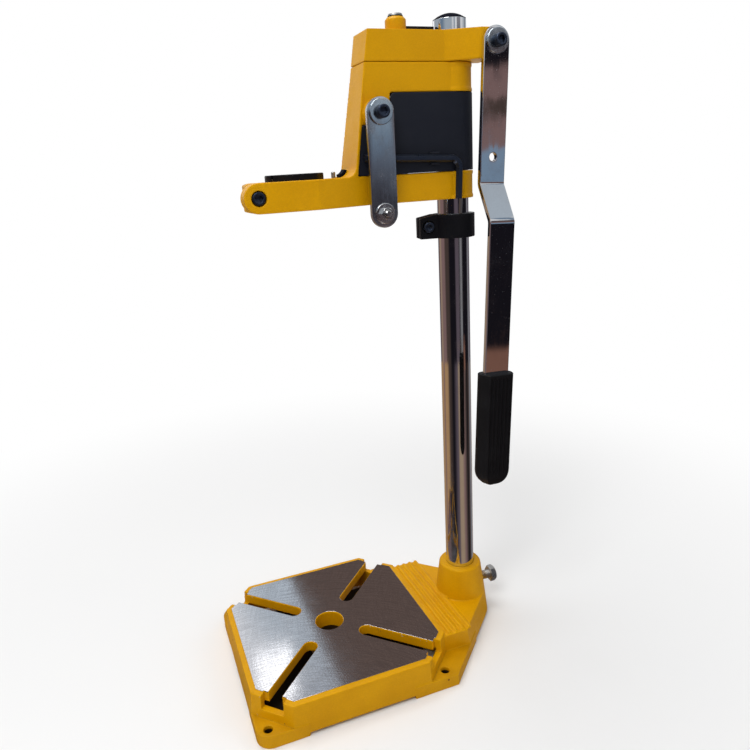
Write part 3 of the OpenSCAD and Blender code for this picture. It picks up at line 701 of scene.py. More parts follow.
@effect(Limit=0.6)
def edge_wear(w: Wiring, given: Sockets) -> Sockets:
    """Adds masks of chipped edges and of sheltered corners.

    Args:
        w: the group's wiring.
        given: its inputs.

    Returns:
        Its outputs.
    """
    point = w.node("NewGeometry").outputs["Pointiness"]
    rim = w.span(point, 0.515, 0.58, way="LINEAR")
    chips = w.math("GREATER_THAN", w.times(rim, w.noise(w.place(), 2.6, 4.0, 0.65)), given["Limit"])
    return {"Chips": chips, "Rim": rim, "Sheltered": w.span(point, 0.485, 0.43, way="LINEAR")}


@effect(Smudge=1.0, Specks=1.0)
def handling(w: Wiring, given: Sockets) -> Sockets:
    """Adds smudges and dust specks.

    Args:
        w: the group's wiring.
        given: its inputs.

    Returns:
        Its outputs.
    """
    where = w.place()
    clouds = w.noise(where, 19.0, 4.0, 0.6)
    specks = w.span(w.noise(where, 0.7, 2.0, 0.5), 0.70, 0.78)
    return {"Smudge": w.times(w.span(clouds, 0.42, 0.72), given["Smudge"]),
            "Specks": w.times(specks, given["Specks"]), "Clouds": clouds}


@effect(Fine=0.6, Broad=0.4)
def tool_lines(w: Wiring, given: Sockets, lay: Lay) -> Sockets:
    """Adds fine lines that run one way, such as drawing or brushing marks.

    Args:
        w: the group's wiring.
        given: its inputs.
        lay: the way that the lines run.

    Returns:
        Its outputs.
    """
    where = w.place(lay.value)
    fine, broad = w.noise(where, 0.35, 3.0, 0.7), w.noise(where, 2.4, 2.0, 0.6)
    return {"Lines": w.add(w.times(fine, given["Fine"]), w.times(broad, given["Broad"]))}


# ---------------------------------------------------------------- finishes


def darker(colour: Colour, share: float) -> Colour:
    """Returns a colour with only a share of its light."""
    return tuple(c * share for c in colour)


class Finish:
    """A finish that makes its material once and puts it on pieces."""

    name: str

    def build(self, w: Wiring) -> dict:
        """Adds the finish's nodes.

        Args:
            w: the wiring of the material's tree.

        Returns:
            A value or a socket for each input that the shader takes.
        """
        raise NotImplementedError

    def material(self) -> bpy.types.Material:
        """Makes the material, unless it is there already.

        Returns:
            The material.
        """
        if self.name in bpy.data.materials:
            return bpy.data.materials[self.name]
        made = bpy.data.materials.new(self.name)
        w = Wiring.blank(made)
        shader = w.node("BsdfPrincipled", self.build(w))
        w.node("OutputMaterial", {"Surface": shader.outputs[0]})
        return made

    def put_on(self, piece: Piece) -> Piece:
        """Dresses a piece.

        Args:
            piece: the piece.

        Returns:
            The piece.
        """
        piece.data.materials.clear()
        piece.data.materials.append(self.material())
        return piece


@dataclass(frozen=True)
class Paint(Finish):
    """Enamel on a casting.

    Args:
        colour: the paint.
        shade: the paint where it is mottled.
        bare: deep wear on edges.
        scuff: light wear on edges.
        rough: span of its roughness.
        depth: height of the cast grain, in mm.
        level: specular level.
        sheen: specular tint.
        chips: limit above which an edge is chipped.
        grime: share of painted shade in sheltered corners.
        dirt: share of darkening on upward faces low down.
        low: height under which that darkening and the rust spots show, in mm.
        bores: X, Y, radius and height of holes that get painted shade inside, below that height.
        rust: the rust spots.
        pit: the painted shade inside those holes.
    """

    name: str
    colour: Colour
    shade: Colour
    bare: Colour = (0.10, 0.075, 0.05)
    scuff: Colour = (0.62, 0.50, 0.30)
    rough: tuple[float, float] = (0.34, 0.48)
    depth: float = 0.065
    level: float = 0.3
    sheen: Colour = (1.0, 0.8, 0.3)
    chips: float = 0.65
    grime: float = 0.35
    dirt: float = 0.8
    low: float = 20.0
    bores: tuple[tuple[float, float, float, float], ...] = ()
    rust: Colour = (0.13, 0.035, 0.008)
    pit: Colour = (0.02, 0.012, 0.006)

    def build(self, w: Wiring) -> dict:
        """Adds mottled colour, cast grain, chips, painted shade in corners, darkening low down, rust spots and
        painted shade inside bores.

        Args:
            w: the wiring of the material's tree.

        Returns:
            What the shader takes.
        """
        cast, wear, hands = cast_grain.put(w), edge_wear.put(w, Limit=self.chips), handling.put(w)
        dark, height = darker(self.shade, 0.35), w.part(w.place(), 2)
        tone = w.mix(w.span(cast["Mottle"], 0.3, 0.7), self.colour, self.shade)
        # painted shade: sheltered corners and creases are darkened
        tone = w.mix(w.times(wear["Sheltered"], self.grime), tone, dark)
        worn = w.mix(w.span(cast["Mottle"], 0.45, 0.55), self.scuff, self.bare)
        tone = w.mix(wear["Chips"], tone, worn)
        tone = w.mix(w.span(cast["Fine"], 0.35, 0.65, 0.0, 0.10), tone, dark)
        # darker towards the bottom, most on upward faces
        settled = w.times(w.span(height, self.low - 2, 6.0, 0.0, self.dirt),
                          w.span(cast["Mottle"], 0.25, 0.75, 0.45, 1.0))
        tone = w.mix(w.times(settled, w.span(w.facing(2), 0.2, 0.9, 0.15, 1.0)), tone, dark)
        tone = w.mix(self.spots(w, height), tone, self.rust)
        # painted shade: the lower part of each bore and foot hole is darkened
        for x, y, radius, level in self.bores:
            inside = w.below(w.distance(w.place((1.0, 1.0, 0.0)), (x, y, 0.0)), radius)
            tone = w.mix(w.times(inside, w.span(height, level, level - 1.0)), tone, self.pit)
        rough = w.add(w.span(cast["Fine"], 0.2, 0.8, *self.rough), w.times(hands["Smudge"], 0.08))
        return {"Base Color": tone, "Roughness": rough, "Specular IOR Level": self.level,
                "Specular Tint": self.sheen, "Normal": w.bump(cast["Height"], self.depth)}

    def spots(self, w: Wiring, height: Socket) -> Socket:
        """Adds small rust spots low down.

        Args:
            w: the wiring of the material's tree.
            height: height over the bench, in mm.

        Returns:
            Their mask.
        """
        cells = w.node("TexVoronoi", {"Vector": w.place(), "Scale": 0.11, "Randomness": 1.0}).outputs
        size = w.times(w.node("SeparateColor", {0: cells["Color"]}).outputs[0], 0.16)
        return w.times(w.below(cells["Distance"], w.math("SUBTRACT", size, 0.05)), w.below(height, self.low))


@dataclass(frozen=True)
class Metal(Finish):
    """Bare, plated or blackened metal with tool marks and smudges.

    Args:
        colour: the metal.
        tint: the metal where it is clouded.
        rough: span of its roughness.
        lay: the way that its tool marks run.
        lines: depth of the marks, in mm.
        smudge: roughness that smudges add.
        metallic: share of the shader's metal.
        specks: roughness that specks add.
        rear: share of the tint that faces towards the far side keep, as painted shade on them.
    """

    name: str
    colour: Colour
    tint: Colour
    rough: tuple[float, float]
    lay: Lay = Lay.UPRIGHT
    lines: float = 0.006
    smudge: float = 0.15
    metallic: float = 1.0
    specks: float = 0.1
    rear: float = 1.0

    def build(self, w: Wiring) -> dict:
        """Adds tool marks, a cloudy tint, smudges, specks and painted shade on faces towards the far side.

        Args:
            w: the wiring of the material's tree.

        Returns:
            What the shader takes.
        """
        marks, hands = tool_lines.put(w, self.lay), handling.put(w)
        tone = w.mix(w.span(hands["Clouds"], 0.3, 0.75, 0.0, 0.5), self.colour, self.tint)
        # painted shade on faces that look towards the far side
        if self.rear < 1.0:
            tone = w.mix(w.below(w.facing(1), -0.6), tone, darker(self.tint, self.rear))
        rough = w.add(w.span(marks["Lines"], 0.25, 0.75, *self.rough), w.times(hands["Smudge"], self.smudge))
        return {"Base Color": tone, "Roughness": w.add(rough, w.times(hands["Specks"], self.specks)),
                "Metallic": self.metallic, "Normal": w.bump(marks["Lines"], self.lines)}


@dataclass(frozen=True)
class Ground(Finish):
    """Ground steel of the table face, with the arcs that the grinding cup leaves.

    Args:
        sweeps: centre of each sweep of the cup, in mm.
        streak: width and length of a streak, in mm.
        cup: distance from the centre at which a streak has that length, in mm.
    """

    name: str = "ground_table_steel"
    colour: Colour = (0.75, 0.75, 0.77)
    tint: Colour = (0.62, 0.60, 0.60)
    cool: Colour = (0.36, 0.36, 0.38)
    warm: Colour = (0.36, 0.34, 0.33)
    stain: Colour = (0.20, 0.13, 0.08)
    rough: tuple[float, float] = (0.06, 0.12)
    sweeps: tuple[Point, Point] = ((66.0, 150.0, 0.0), (-190.0, 40.0, 0.0))
    streak: tuple[float, float] = (1.3, 16.0)
    cup: float = 130.0
    depth: float = 0.035

    def arcs(self, w: Wiring, centre: Point) -> Socket:
        """Adds streaks that run round a centre.

        Args:
            w: the wiring of the material's tree.
            centre: the centre of the cup's sweep, in mm.

        Returns:
            The streaks, 0 to 1.
        """
        spot = w.node("VectorMath", {0: w.place(), 1: centre}, operation="SUBTRACT").outputs[0]
        turn = w.math("ARCTAN2", w.part(spot, 1), w.part(spot, 0))
        wide, long = self.streak
        reach = w.math("DIVIDE", w.distance(spot, (0.0, 0.0, 0.0)), wide)
        flat = w.node("CombineXYZ", {0: reach, 1: w.times(turn, self.cup / long)})
        return w.noise(flat.outputs[0], 1.0, 2.0, 0.6)

    def build(self, w: Wiring) -> dict:
        """Adds two sweeps of grinding arcs, a patina, stains and small nicks.

        Args:
            w: the wiring of the material's tree.

        Returns:
            What the shader takes.
        """
        where, hands = w.place(), handling.put(w)
        main, cross = (self.arcs(w, centre) for centre in self.sweeps)
        streaks = w.add(w.times(main, 0.65), w.times(cross, 0.35))
        fine = w.noise(where, 1.2, 1.0, 0.5)
        tone = w.mix(w.span(hands["Clouds"], 0.35, 0.75, 0.0, 0.3), self.colour, self.tint)
        tone = w.mix(w.span(streaks, 0.38, 0.62, 0.0, 0.4), tone, self.cool)
        tone = w.mix(w.span(fine, 0.40, 0.60, 0.0, 0.3), tone, self.warm)
        tone = w.mix(w.span(w.noise(where, 2.2, 3.0, 0.7), 0.74, 0.80, 0.0, 0.6), tone, self.stain)
        rough = w.span(w.add(w.times(fine, 0.5), w.times(streaks, 0.5)), 0.3, 0.7, *self.rough)
        height = w.add(w.times(streaks, 0.6), w.times(fine, 0.4))
        return {"Base Color": tone, "Roughness": w.add(rough, w.times(hands["Smudge"], 0.03)),
                "Metallic": 1.0, "Normal": w.bump(height, self.depth)}


@dataclass(frozen=True)
class Moulded(Finish):
    """Moulded plastic or rubber with a fine skin grain and settled dust.

    Args:
        colour: the material.
        worn: the material where it is worn or dusty.
        rough: span of its roughness.
        grain: size of the skin's grain, in mm.
        depth: height of the grain, in mm.
        dust: share of settled dust.
        level: specular level.
        edge: share of wear on edges.
    """

    name: str
    colour: Colour
    worn: Colour
    rough: tuple[float, float]
    grain: float = 0.35
    depth: float = 0.015
    dust: float = 0.25
    level: float = 0.2
    edge: float = 0.1

    def build(self, w: Wiring) -> dict:
        """Adds grain, polished edges, dust and handling marks.

        Args:
            w: the wiring of the material's tree.

        Returns:
            What the shader takes.
        """
        wear, hands = edge_wear.put(w), handling.put(w)
        skin = w.noise(w.place(), self.grain, 2.0, 0.5)
        dust = w.times(w.times(w.span(hands["Clouds"], 0.45, 0.8), self.dust), 0.3)
        tone = w.mix(w.times(wear["Rim"], self.edge), self.colour, self.worn)
        tone = w.mix(w.add(dust, w.times(hands["Specks"], 0.05)), tone, self.worn)
        return {"Base Color": tone, "Roughness": w.add(w.span(skin, 0.3, 0.7, *self.rough), dust),
                "Specular IOR Level": self.level, "Normal": w.bump(skin, self.depth)}


@dataclass(frozen=True)
class Palette:
    """Every finish of the stand."""

    yellow: Finish = Paint("yellow_cast_paint", (0.70, 0.340, 0.0), (0.655, 0.312, 0.0))
    base_yellow: Finish = Paint("base_cast_paint", (0.70, 0.340, 0.0), (0.64, 0.300, 0.0),
                                chips=0.63, grime=0.6,
                                bores=((0.0, 0.0, 12.7, 16.5), *((*spot, 3.9, 8.6) for spot in FOOT_HOLES)))
    black_paint: Finish = Paint("black_enamel", (0.005, 0.005, 0.007), (0.008, 0.008, 0.010),
                                (0.20, 0.19, 0.18), rough=(0.30, 0.42), depth=0.02, level=0.14,
                                sheen=(1.0, 1.0, 1.0), chips=0.66, dirt=0.0)
    table: Finish = Ground()
    chrome: Finish = Metal("polished_chrome", (0.80, 0.81, 0.83), (0.72, 0.71, 0.72), (0.035, 0.09),
                           lines=0.0012, smudge=0.10)
    # the lever gets painted shade on its far faces (rear)
    lever_chrome: Finish = Metal("lever_chrome", (0.76, 0.77, 0.79), (0.66, 0.64, 0.65), (0.03, 0.08),
                                 lines=0.002, smudge=0.08, specks=0.5, rear=0.4)
    zinc: Finish = Metal("zinc_plate", (0.58, 0.65, 0.70), (0.48, 0.50, 0.55), (0.13, 0.22), smudge=0.12)
    bright_zinc: Finish = Metal("bright_zinc", (0.80, 0.80, 0.80), (0.60, 0.58, 0.56), (0.13, 0.26), Lay.ROUND)
    bolt_zinc: Finish = Metal("bolt_zinc", (0.56, 0.56, 0.55), (0.42, 0.40, 0.37), (0.16, 0.30), Lay.ROUND)
    dull_zinc: Finish = Metal("dull_zinc", (0.42, 0.42, 0.42), (0.30, 0.29, 0.28), (0.34, 0.50), Lay.ROUND,
                              smudge=0.10)
    oxide: Finish = Metal("black_oxide", (0.042, 0.055, 0.088), (0.056, 0.066, 0.088), (0.24, 0.36), Lay.ROUND,
                          lines=0.008, smudge=0.12, metallic=0.85)
    brass: Finish = Metal("bush_bronze", (0.62, 0.42, 0.17), (0.48, 0.31, 0.13), (0.26, 0.42), Lay.ROUND)
    wire: Finish = Metal("spring_wire", (0.38, 0.39, 0.41), (0.30, 0.29, 0.29), (0.22, 0.36), Lay.ROUND,
                         lines=0.004)
    cover: Finish = Moulded("moulded_cover", (0.012, 0.014, 0.022), (0.04, 0.042, 0.052), (0.30, 0.42))
    cap: Finish = Moulded("moulded_cap", (0.005, 0.006, 0.012), (0.026, 0.03, 0.042), (0.38, 0.50),
                          grain=0.5, depth=0.006, dust=0.15, level=0.01)
    rubber: Finish = Moulded("ribbed_rubber", (0.0045, 0.0045, 0.006), (0.030, 0.030, 0.032), (0.40, 0.55),
                             grain=0.45, depth=0.02, dust=0.3)


PALETTE = Palette()


def stand_for(piece: Piece, finish: Finish, *nodes: str) -> None:
    """Dresses a piece and lets it stand for CAD nodes of one body.

    Args:
        piece: the piece.
        finish: its finish.
        nodes: the nodes that it replaces.
    """
    finish.put_on(piece)
    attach(piece, BODY_OF[nodes[0]])
    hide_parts(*nodes)


def dress(finish: Finish, *nodes: str) -> None:
    """Gives CAD nodes that stay in sight a finish.

    Args:
        finish: the finish.
        nodes: the nodes.
    """
    for node in nodes:
        finish.put_on(frame["nodes"][node])
        LOG.info("%s: dressed as packed", node)


# ---------------------------------------------------------------- fasteners


@dataclass(frozen=True)
class Thread:
    """Screw thread, as rings that a screw is lofted through.

    Args:
        radius: outer radius.
        pitch: height of one turn.
        depth: depth of the thread.
        rings_a_turn: number of rings to a turn.
    """

    radius: float
    pitch: float
    depth: float
    rings_a_turn: int = 8

    def rings(self, seat: Seat, start: float, end: float) -> list[Ring]:
        """Returns rings from one height to another, plain at both ends.

        Args:
            seat: the screw's seat.
            start: first height.
            end: last height.

        Returns:
            The rings.
        """
        steps = max(2, int(abs(end - start) / self.pitch * self.rings_a_turn))
        share = np.arange(seat.points) / seat.points
        made = []
        for i in range(steps + 1):
            height = start + (end - start) * i / steps
            fade = min(1.0, 3.0 * i / steps, 3.0 * (steps - i) / steps)
            phase = np.mod(height / self.pitch - share, 1.0)
            made.append(seat.ring(self.radius - self.depth * fade * (1 - np.abs(2 * phase - 1)), height))
        return made


@dataclass(frozen=True)
class SocketScrew:
    """Socket cap screw with a knurled head.

    Args:
        node: the CAD node that it stands for.
        seat: where its head sits, along the way that the head points.
        length: length of the shank.
        shank: radius of the shank.
        head: radius of the head.
        flats: width of the socket.
        height: height of the head.
        knurl: depth of the knurls.
        crown: radius of the head's upper edge.
        socket: depth of the socket.
        points: points in each ring, four to a knurl.
    """

    node: str
    seat: Seat
    length: float
    shank: float = 3.0
    head: float = 4.75
    flats: float = 5.0
    height: float = 5.0
    knurl: float = 0.11
    crown: float = 0.8
    socket: float = 2.8
    points: int = 120

    @classmethod
    def across(cls, node: str, axis: Axis = Axis.NEAR) -> "SocketScrew":
        """Fits a screw to a CAD node that lies across the stand.

        Args:
            node: the node.
            axis: the side that its head is on.

        Returns:
            The screw.
        """
        box = cad(node)
        seat_y = box.high[1] - cls.height if axis is Axis.NEAR else box.low[1] + cls.height
        return cls(node, Seat.on((box.middle[0], seat_y, box.middle[2]), axis), box.size[1] - cls.height)

    def make(self) -> None:
        """Builds the screw."""
        seat, r, top = replace(self.seat, points=self.points), self.shank, self.height
        knurled = self.head - self.knurl * (0.5 + 0.5 * np.cos(np.arange(self.points) * math.pi / 2))
        mouth, socket = self.flats / 2 / math.cos(math.pi / 6), hexagon(self.flats, self.points)
        rings = seat.rings([(r - 0.7, -self.length), (r, -self.length + 0.7)])
        rings += Thread(r, r / 3, r * 0.1).rings(seat, -self.length + 0.8, -max(self.length * 0.25, 1.0))
        rings += seat.rings([(r, -0.3), (r + 0.3, 0), (self.head - 0.3, 0), (self.head, 0.3)])
        rings += seat.rings([(knurled, h) for h in (0.5, 0.8, top - 1.3, top - 1.05)])
        rings += seat.rings(arc(self.head - self.crown, top - self.crown, self.crown, 0, 90, 4))
        rings += seat.rings([(mouth + 0.22, top), (np.minimum(socket, mouth), top - 0.3),
                             (socket, top - self.socket), (0.4, top - self.socket - 0.6)])
        stand_for(Solid().loft(rings).piece(self.node + "_piece"), PALETTE.oxide, self.node)


@dataclass(frozen=True)
class HexHead:
    """Chamfered hexagon, as rings.

    Args:
        flats: width across flats.
        low: height of its lower face.
        high: height of its upper face.
        cone: how fast the chamfer widens going down.
    """

    flats: float
    low: float
    high: float
    cone: float = 1.73

    def rings(self, seat: Seat, both: bool = False) -> list[Ring]:
        """Returns rings from the lower to the upper face.

        Args:
            seat: the screw's seat.
            both: whether the lower face is chamfered too.

        Returns:
            The rings.
        """
        shape, face = hexagon(self.flats, seat.points), self.flats / 2 * 0.97
        rise = (self.flats / 2 / math.cos(math.pi / 6) - face) / self.cone
        steps = [rise * k / 5 for k in range(6)]
        cut = [np.minimum(shape, face + self.cone * d) for d in steps]
        low = [(r, self.low + d) for r, d in zip(cut, steps)] if both \
            else [(shape - 0.15, self.low), (shape, self.low + 0.2)]
        return seat.rings(low + [(r, self.high - d) for r, d in zip(cut[::-1], steps[::-1])])


def washer(node: str, bore: float, finish: Finish) -> None:
    """Makes a stamped washer, with one edge rolled rounder than the other.

    Args:
        node: the CAD node that it stands for.
        bore: radius of its hole.
        finish: its finish.
    """
    box = cad(node)
    thick = box.size[1]
    profile = fillet(rectangle(bore, 0, box.radius, thick), [0.15, 0.15, min(0.5, thick * 0.4), 0.3])
    solid = Solid().turn(Seat.on((box.middle[0], box.low[1], box.middle[2]), Axis.NEAR), profile, wrap=True)
    stand_for(solid.piece(node + "_piece"), finish, node)


def hex_nut(node: str, axis: Axis, flats: float, bore: float) -> None:
    """Makes a chamfered nut.

    Args:
        node: the CAD node that it stands for.
        axis: the way that its outer face looks.
        flats: width across flats.
        bore: radius of its hole.
    """
    box = cad(node)
    seat = Seat.on((box.middle[0], box.low[1] if axis is Axis.NEAR else box.high[1], box.middle[2]), axis)
    height = box.size[1]
    rings = seat.rings([(bore, 0.6), (bore + 0.5, 0.0)]) + HexHead(flats, 0.0, height).rings(seat, both=True)
    rings += seat.rings([(bore + 0.7, height), (bore, height - 0.8)])
    stand_for(Solid().loft(rings, wrap=True).piece(node + "_piece", 22.0), PALETTE.bright_zinc, node)


def pivot(name: str) -> None:
    """Makes the socket screw and the washer of a pivot."""
    SocketScrew.across(name + "_screw").make()
    washer(name + "_washer", 3.1, PALETTE.zinc)


# ---------------------------------------------------------------- the stand


@dataclass
class Base:
    """Cast base with its ground table face and the column's clamp bolt."""

    table_height: float = 30.0
    bed: float = 29.75
    face_under: float = 28.8
    front: float = 77.0
    rear: float = 80.0
    half: float = 77.0
    corner: float = 24.0
    hole: float = 12.5
    slot: float = 12.9
    slot_in: float = 35.5
    mouth: float = 20.8
    sill: float = 1.0
    face_edge: float = 0.09
    bolt_radius: float = 4.0
    bolt_pitch: float = 1.25
    bolt_thread: float = 0.62
    bolt_flats: float = 13.0
    bolt_head: float = 5.3

    def face_outline(self) -> np.ndarray:
        """Draws the ground face, with its four slots open at the corners.

        Returns:
            The outline.
        """
        f, r, h, c = self.front, self.rear, self.half, self.corner
        corners = [((f, h - c), (f - c, h)), ((-(r - c), h), (-r, h - c)),
                   ((-r, -(h - c)), (-(r - c), -h)), ((f - c, -h), (f, -(h - c)))]
        points: list[np.ndarray] = []
        for i, ends in enumerate(corners):
            a, b = np.array(ends)
            turn = math.radians(45 + 90 * i)
            ahead = np.array([math.cos(turn), math.sin(turn)])
            side = np.array([-ahead[1], ahead[0]])
            edge = float(((a + b) / 2) @ ahead)
            mouth, half, sill = self.mouth / 2, self.slot / 2, edge - self.sill
            cut = [(edge, -mouth), (sill, -mouth), (sill, -half), *arc(self.slot_in, 0, half, -90, -270, 17),
                   (sill, half), (sill, mouth), (edge, mouth)]
            points += [a] + [ahead * d + side * s for d, s in cut] + [b]
        return np.array(points)

    def casting(self) -> None:
        """Builds the painted casting; its top is lowered to take the ground face."""

        def lower_top(points: np.ndarray) -> np.ndarray:
            """Brings the machined face down to its bed."""
            points[np.abs(points[:, 2] - self.table_height) < 0.05, 2] = self.bed
            return points

        skin = CastSkin(("base",), 0.46, 2, 0.12).grow("base_casting", lower_top)
        stand_for(skin, PALETTE.base_yellow, "base")

    def table_face(self) -> None:
        """Builds the ground steel face."""
        loops = [self.face_outline(), circle(0, 0, self.hole, 72)]
        solid = Solid().plate(loops, self.face_under, self.table_height, self.face_edge)
        piece = PALETTE.table.put_on(solid.piece("table_face", 20.0))
        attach(piece, "stand")

    def clamp_bolt(self) -> None:
        """Builds the hexagon head bolt."""
        box, r, flat = cad("base_clamp_bolt"), self.bolt_radius, self.bolt_flats / 2
        seat = Seat.on((box.low[0] + self.bolt_head, 0.0, box.middle[2]), Axis.REAR)
        length = box.size[0] - self.bolt_head
        rings = seat.rings([(r - 0.9, -length)])
        rings += Thread(r, self.bolt_pitch, self.bolt_thread).rings(seat, -length + 0.9, -0.6)
        rings += seat.rings([(r, -0.3), (r + 0.2, 0.0), (flat * 0.93, 0.0), (flat * 0.93, 0.25)])
        rings += HexHead(self.bolt_flats, 0.25, self.bolt_head).rings(seat)
        rings += seat.rings([(flat * 0.7, self.bolt_head - 0.12)])
        bolt = Solid().loft(rings).piece("base_clamp_bolt_piece", 22.0)
        stand_for(bolt, PALETTE.bolt_zinc, "base_clamp_bolt")

    def make(self) -> None:
        """Builds every piece of the base."""
        self.casting()
        self.table_face()
        self.clamp_bolt()


@dataclass
class Column:
    """Chromed tube and its end cap.

    Args:
        dimple: radius and depth of each ring of the dimple that the cap's moulding leaves.
    """

    wall: float = 2.0
    edge: float = 0.6
    tube_points: int = 160
    dome: float = 4.5
    lip: float = 0.35
    dimple_from: float = 4.2
    dimple: tuple[tuple[float, float], ...] = ((3.6, 0.35), (3.2, 0.75), (2.4, 1.15), (1.2, 1.35), (0.25, 1.4))

    def tube(self) -> None:
        """Builds the tube."""
        box = cad("column")
        seat = Seat((box.middle[0], 0.0, box.low[2]), points=self.tube_points)
        profile = fillet(rectangle(box.radius - self.wall, 0, box.radius, box.size[2]), self.edge)
        stand_for(Solid().turn(seat, profile, wrap=True).piece("column_tube", 40.0), PALETTE.chrome, "column")

    def cap(self) -> None:
        """Builds the cap, with its plug and its dimple."""
        box = cad("column_cap")
        foot, top, r = box.low[2], box.high[2], box.radius
        rim, plug = top - self.dome, r - self.wall - 0.1
        ball = (r * r + self.dome * self.dome) / (2 * self.dome)
        profile = [(0.3, foot), (plug - 0.5, foot), (plug, foot + 0.6), (plug, rim - 0.02), (r - self.lip, rim),
                   (r - 0.05, rim + 0.25)]
        profile += [(q, top - ball + math.sqrt(ball * ball - q * q) - 0.02)
                    for q in np.linspace(r - self.lip, self.dimple_from, 12)]
        profile += [(q, top - depth) for q, depth in self.dimple]
        solid = Solid().turn(Seat((box.middle[0], 0.0, 0.0)), profile)
        stand_for(solid.piece("column_end_cap", 50.0), PALETTE.cap, "column_cap")

    def make(self) -> None:
        """Builds the tube and the cap."""
        self.tube()
        self.cap()


@dataclass
class Head:
    """Head bracket with the guide rod, the return spring and the lever's pivot."""

    rod_x: float = -85.6
    spring_turns: int = 6
    wire: float = 1.6
    stroke: float = 60.0
    disc: float = 5.6
    crown: float = 4.9
    crown_tall: float = 2.2
    ring_tall: float = 0.75
    ring_wide: float = 2.7

    def strip(self) -> None:
        """Builds the packing strip in the clamping slit."""
        box = cad("slit_strip")
        outline = fillet(rectangle(box.low[0], box.low[2], box.high[0], box.high[2]), 0.5)
        solid = Solid().plate([outline], box.low[1], box.high[1], 0.3, shape=upright)
        stand_for(solid.piece("slit_strip_piece"), PALETTE.rubber, "slit_strip")

    def rod_screw(self) -> None:
        """Builds the screw on top of the guide rod, and a dark ring under it, a painted shade under the screw's
        head.
        """
        box, disc, crown, tall = cad("rod_top_screw"), self.disc, self.crown, self.crown_tall
        seat = Seat((self.rod_x, 0.0, box.high[2] - tall))
        outer, length, socket = disc + 0.1, box.size[2] - tall, hexagon(3.0)
        # dark ring: painted shade under the screw's head
        ring = Solid().turn(seat, fillet(rectangle(outer - self.ring_wide, 0.0, outer, self.ring_tall), 0.15),
                            wrap=True)
        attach(PALETTE.rubber.put_on(ring.piece("rod_top_ring")), BODY_OF["rod_top_screw"])
        rings = seat.rings([(2.4, -length), (3.0, -length + 0.6), (3.0, -0.2), (disc - 0.5, 0.1),
                            (disc - 0.3, 0.7), (disc - 0.15, 0.85), (crown + 0.25, tall - 0.3),
                            (crown - 0.1, tall), (2.0, tall), (socket, tall - 0.25), (socket, tall - 1.2),
                            (0.3, tall - 1.6)])
        stand_for(Solid().loft(rings).piece("rod_top_screw_piece"), PALETTE.dull_zinc, "rod_top_screw")

    def spring(self) -> None:
        """Builds the return spring, on a mesh of its own."""
        box, half = cad("return_spring"), self.wire / 2
        low, tall, reach = box.low, box.size[2], box.radius - half
        share = np.linspace(0, 1, self.spring_turns * 36 + 1)
        turn = share * self.spring_turns * 2 * math.pi
        path = np.column_stack([self.rod_x + reach * np.cos(turn), reach * np.sin(turn),
                                low[2] + half + (tall - self.wire) * share])
        piece = Solid().sweep(path, circle(0, 0, half, 12), (0.0, 0.0, 1.0)).piece("return_spring_piece")
        stand_for(piece, PALETTE.wire, "return_spring")
        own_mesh(piece)

    def make(self) -> None:
        """Builds every piece of the head."""
        skin = CastSkin(("head_bracket",), 0.5, 3, 0.22).grow("head_casting")
        stand_for(skin, PALETTE.yellow, "head_bracket")
        self.strip()
        self.rod_screw()
        self.spring()
        SocketScrew.across("head_clamp_screw", Axis.FAR).make()
        pivot("lever_pivot")
        dress(PALETTE.chrome, "guide_rod")
        dress(PALETTE.bright_zinc, "rod_end_washer", "rod_end_screw")
        dress(PALETTE.brass, "lever_bush")


@dataclass
class Cover:
    """Plastic cover of one side of the carriage, bent round the back.

    Args:
        node: the CAD node that it stands for.
        side: 1 on the near side, -1 on the far side.
        clip: whether it holds the hexagon key.
        corners: X and Z of its corners, those behind the round left out.
    """

    node: str
    side: int
    clip: bool
    wall: float = 1.8
    face: float = 15.2
    round_x: float = -131.4
    round_r: float = 15.0
    round_steps: int = 16
    middle: float = 0.15
    corner: float = 3.0
    edge: float = 0.5
    corners: tuple[tuple[float, float], ...] = (
        (-73.3, 462.8), (-44.06, 405.4), (-49.82, 440.8), (-57.3, 440.8), (-72.3, 450.8))
    clip_x: float = -106.0
    clip_w: float = 7.0
    clip_t: float = 1.6
    clip_gap: float = 3.8
    clip_out: float = 18.85
    clip_z: float = 415.22

    def bent(self, points: np.ndarray) -> np.ndarray:
        """Takes points as X, height and depth, and bends those behind the round's start.

        Args:
            points: the flat points.

        Returns:
            The points in space.
        """
        behind = np.maximum(self.round_x - points[:, 0], 0) / self.round_r
        radius = self.round_r - points[:, 2]
        x = np.where(behind > 0, self.round_x - radius * np.sin(behind), points[:, 0])
        y = np.where(behind > 0, self.face - self.round_r + radius * np.cos(behind), self.face - points[:, 2])
        return np.column_stack([x, self.side * y, points[:, 1]])

    def make(self) -> None:
        """Builds the cover."""
        top_front, low_front, step_front, step_back, notch = self.corners
        turn = math.acos((self.middle - self.face + self.round_r) / self.round_r)
        end = self.round_x - self.round_r * turn
        outline = fillet([top_front, (end, top_front[1]), (end, low_front[1]), low_front, step_front, step_back,
                          notch], [self.corner, 0.4, 0.4, 1.2, 1.5, 1.0, 1.0], 5)
        cuts = [(0, self.round_x - self.round_r * turn * k / self.round_steps) for k in range(self.round_steps)]
        solid = Solid().plate([outline], 0.0, self.wall, self.edge, cuts, self.bent, 3)
        for way in (-1, 1) if self.clip else ():
            z, wide, thick = self.clip_z + way * self.clip_gap, self.clip_w / 2, self.clip_t / 2
            leaf = fillet(rectangle(self.clip_x - wide, z - thick, self.clip_x + wide, z + thick), 0.5)
            solid.plate([leaf], self.face - 0.6, self.clip_out, 0.35, shape=upright)
        stand_for(solid.piece(self.node + "_piece", 38.0), PALETTE.cover, self.node)


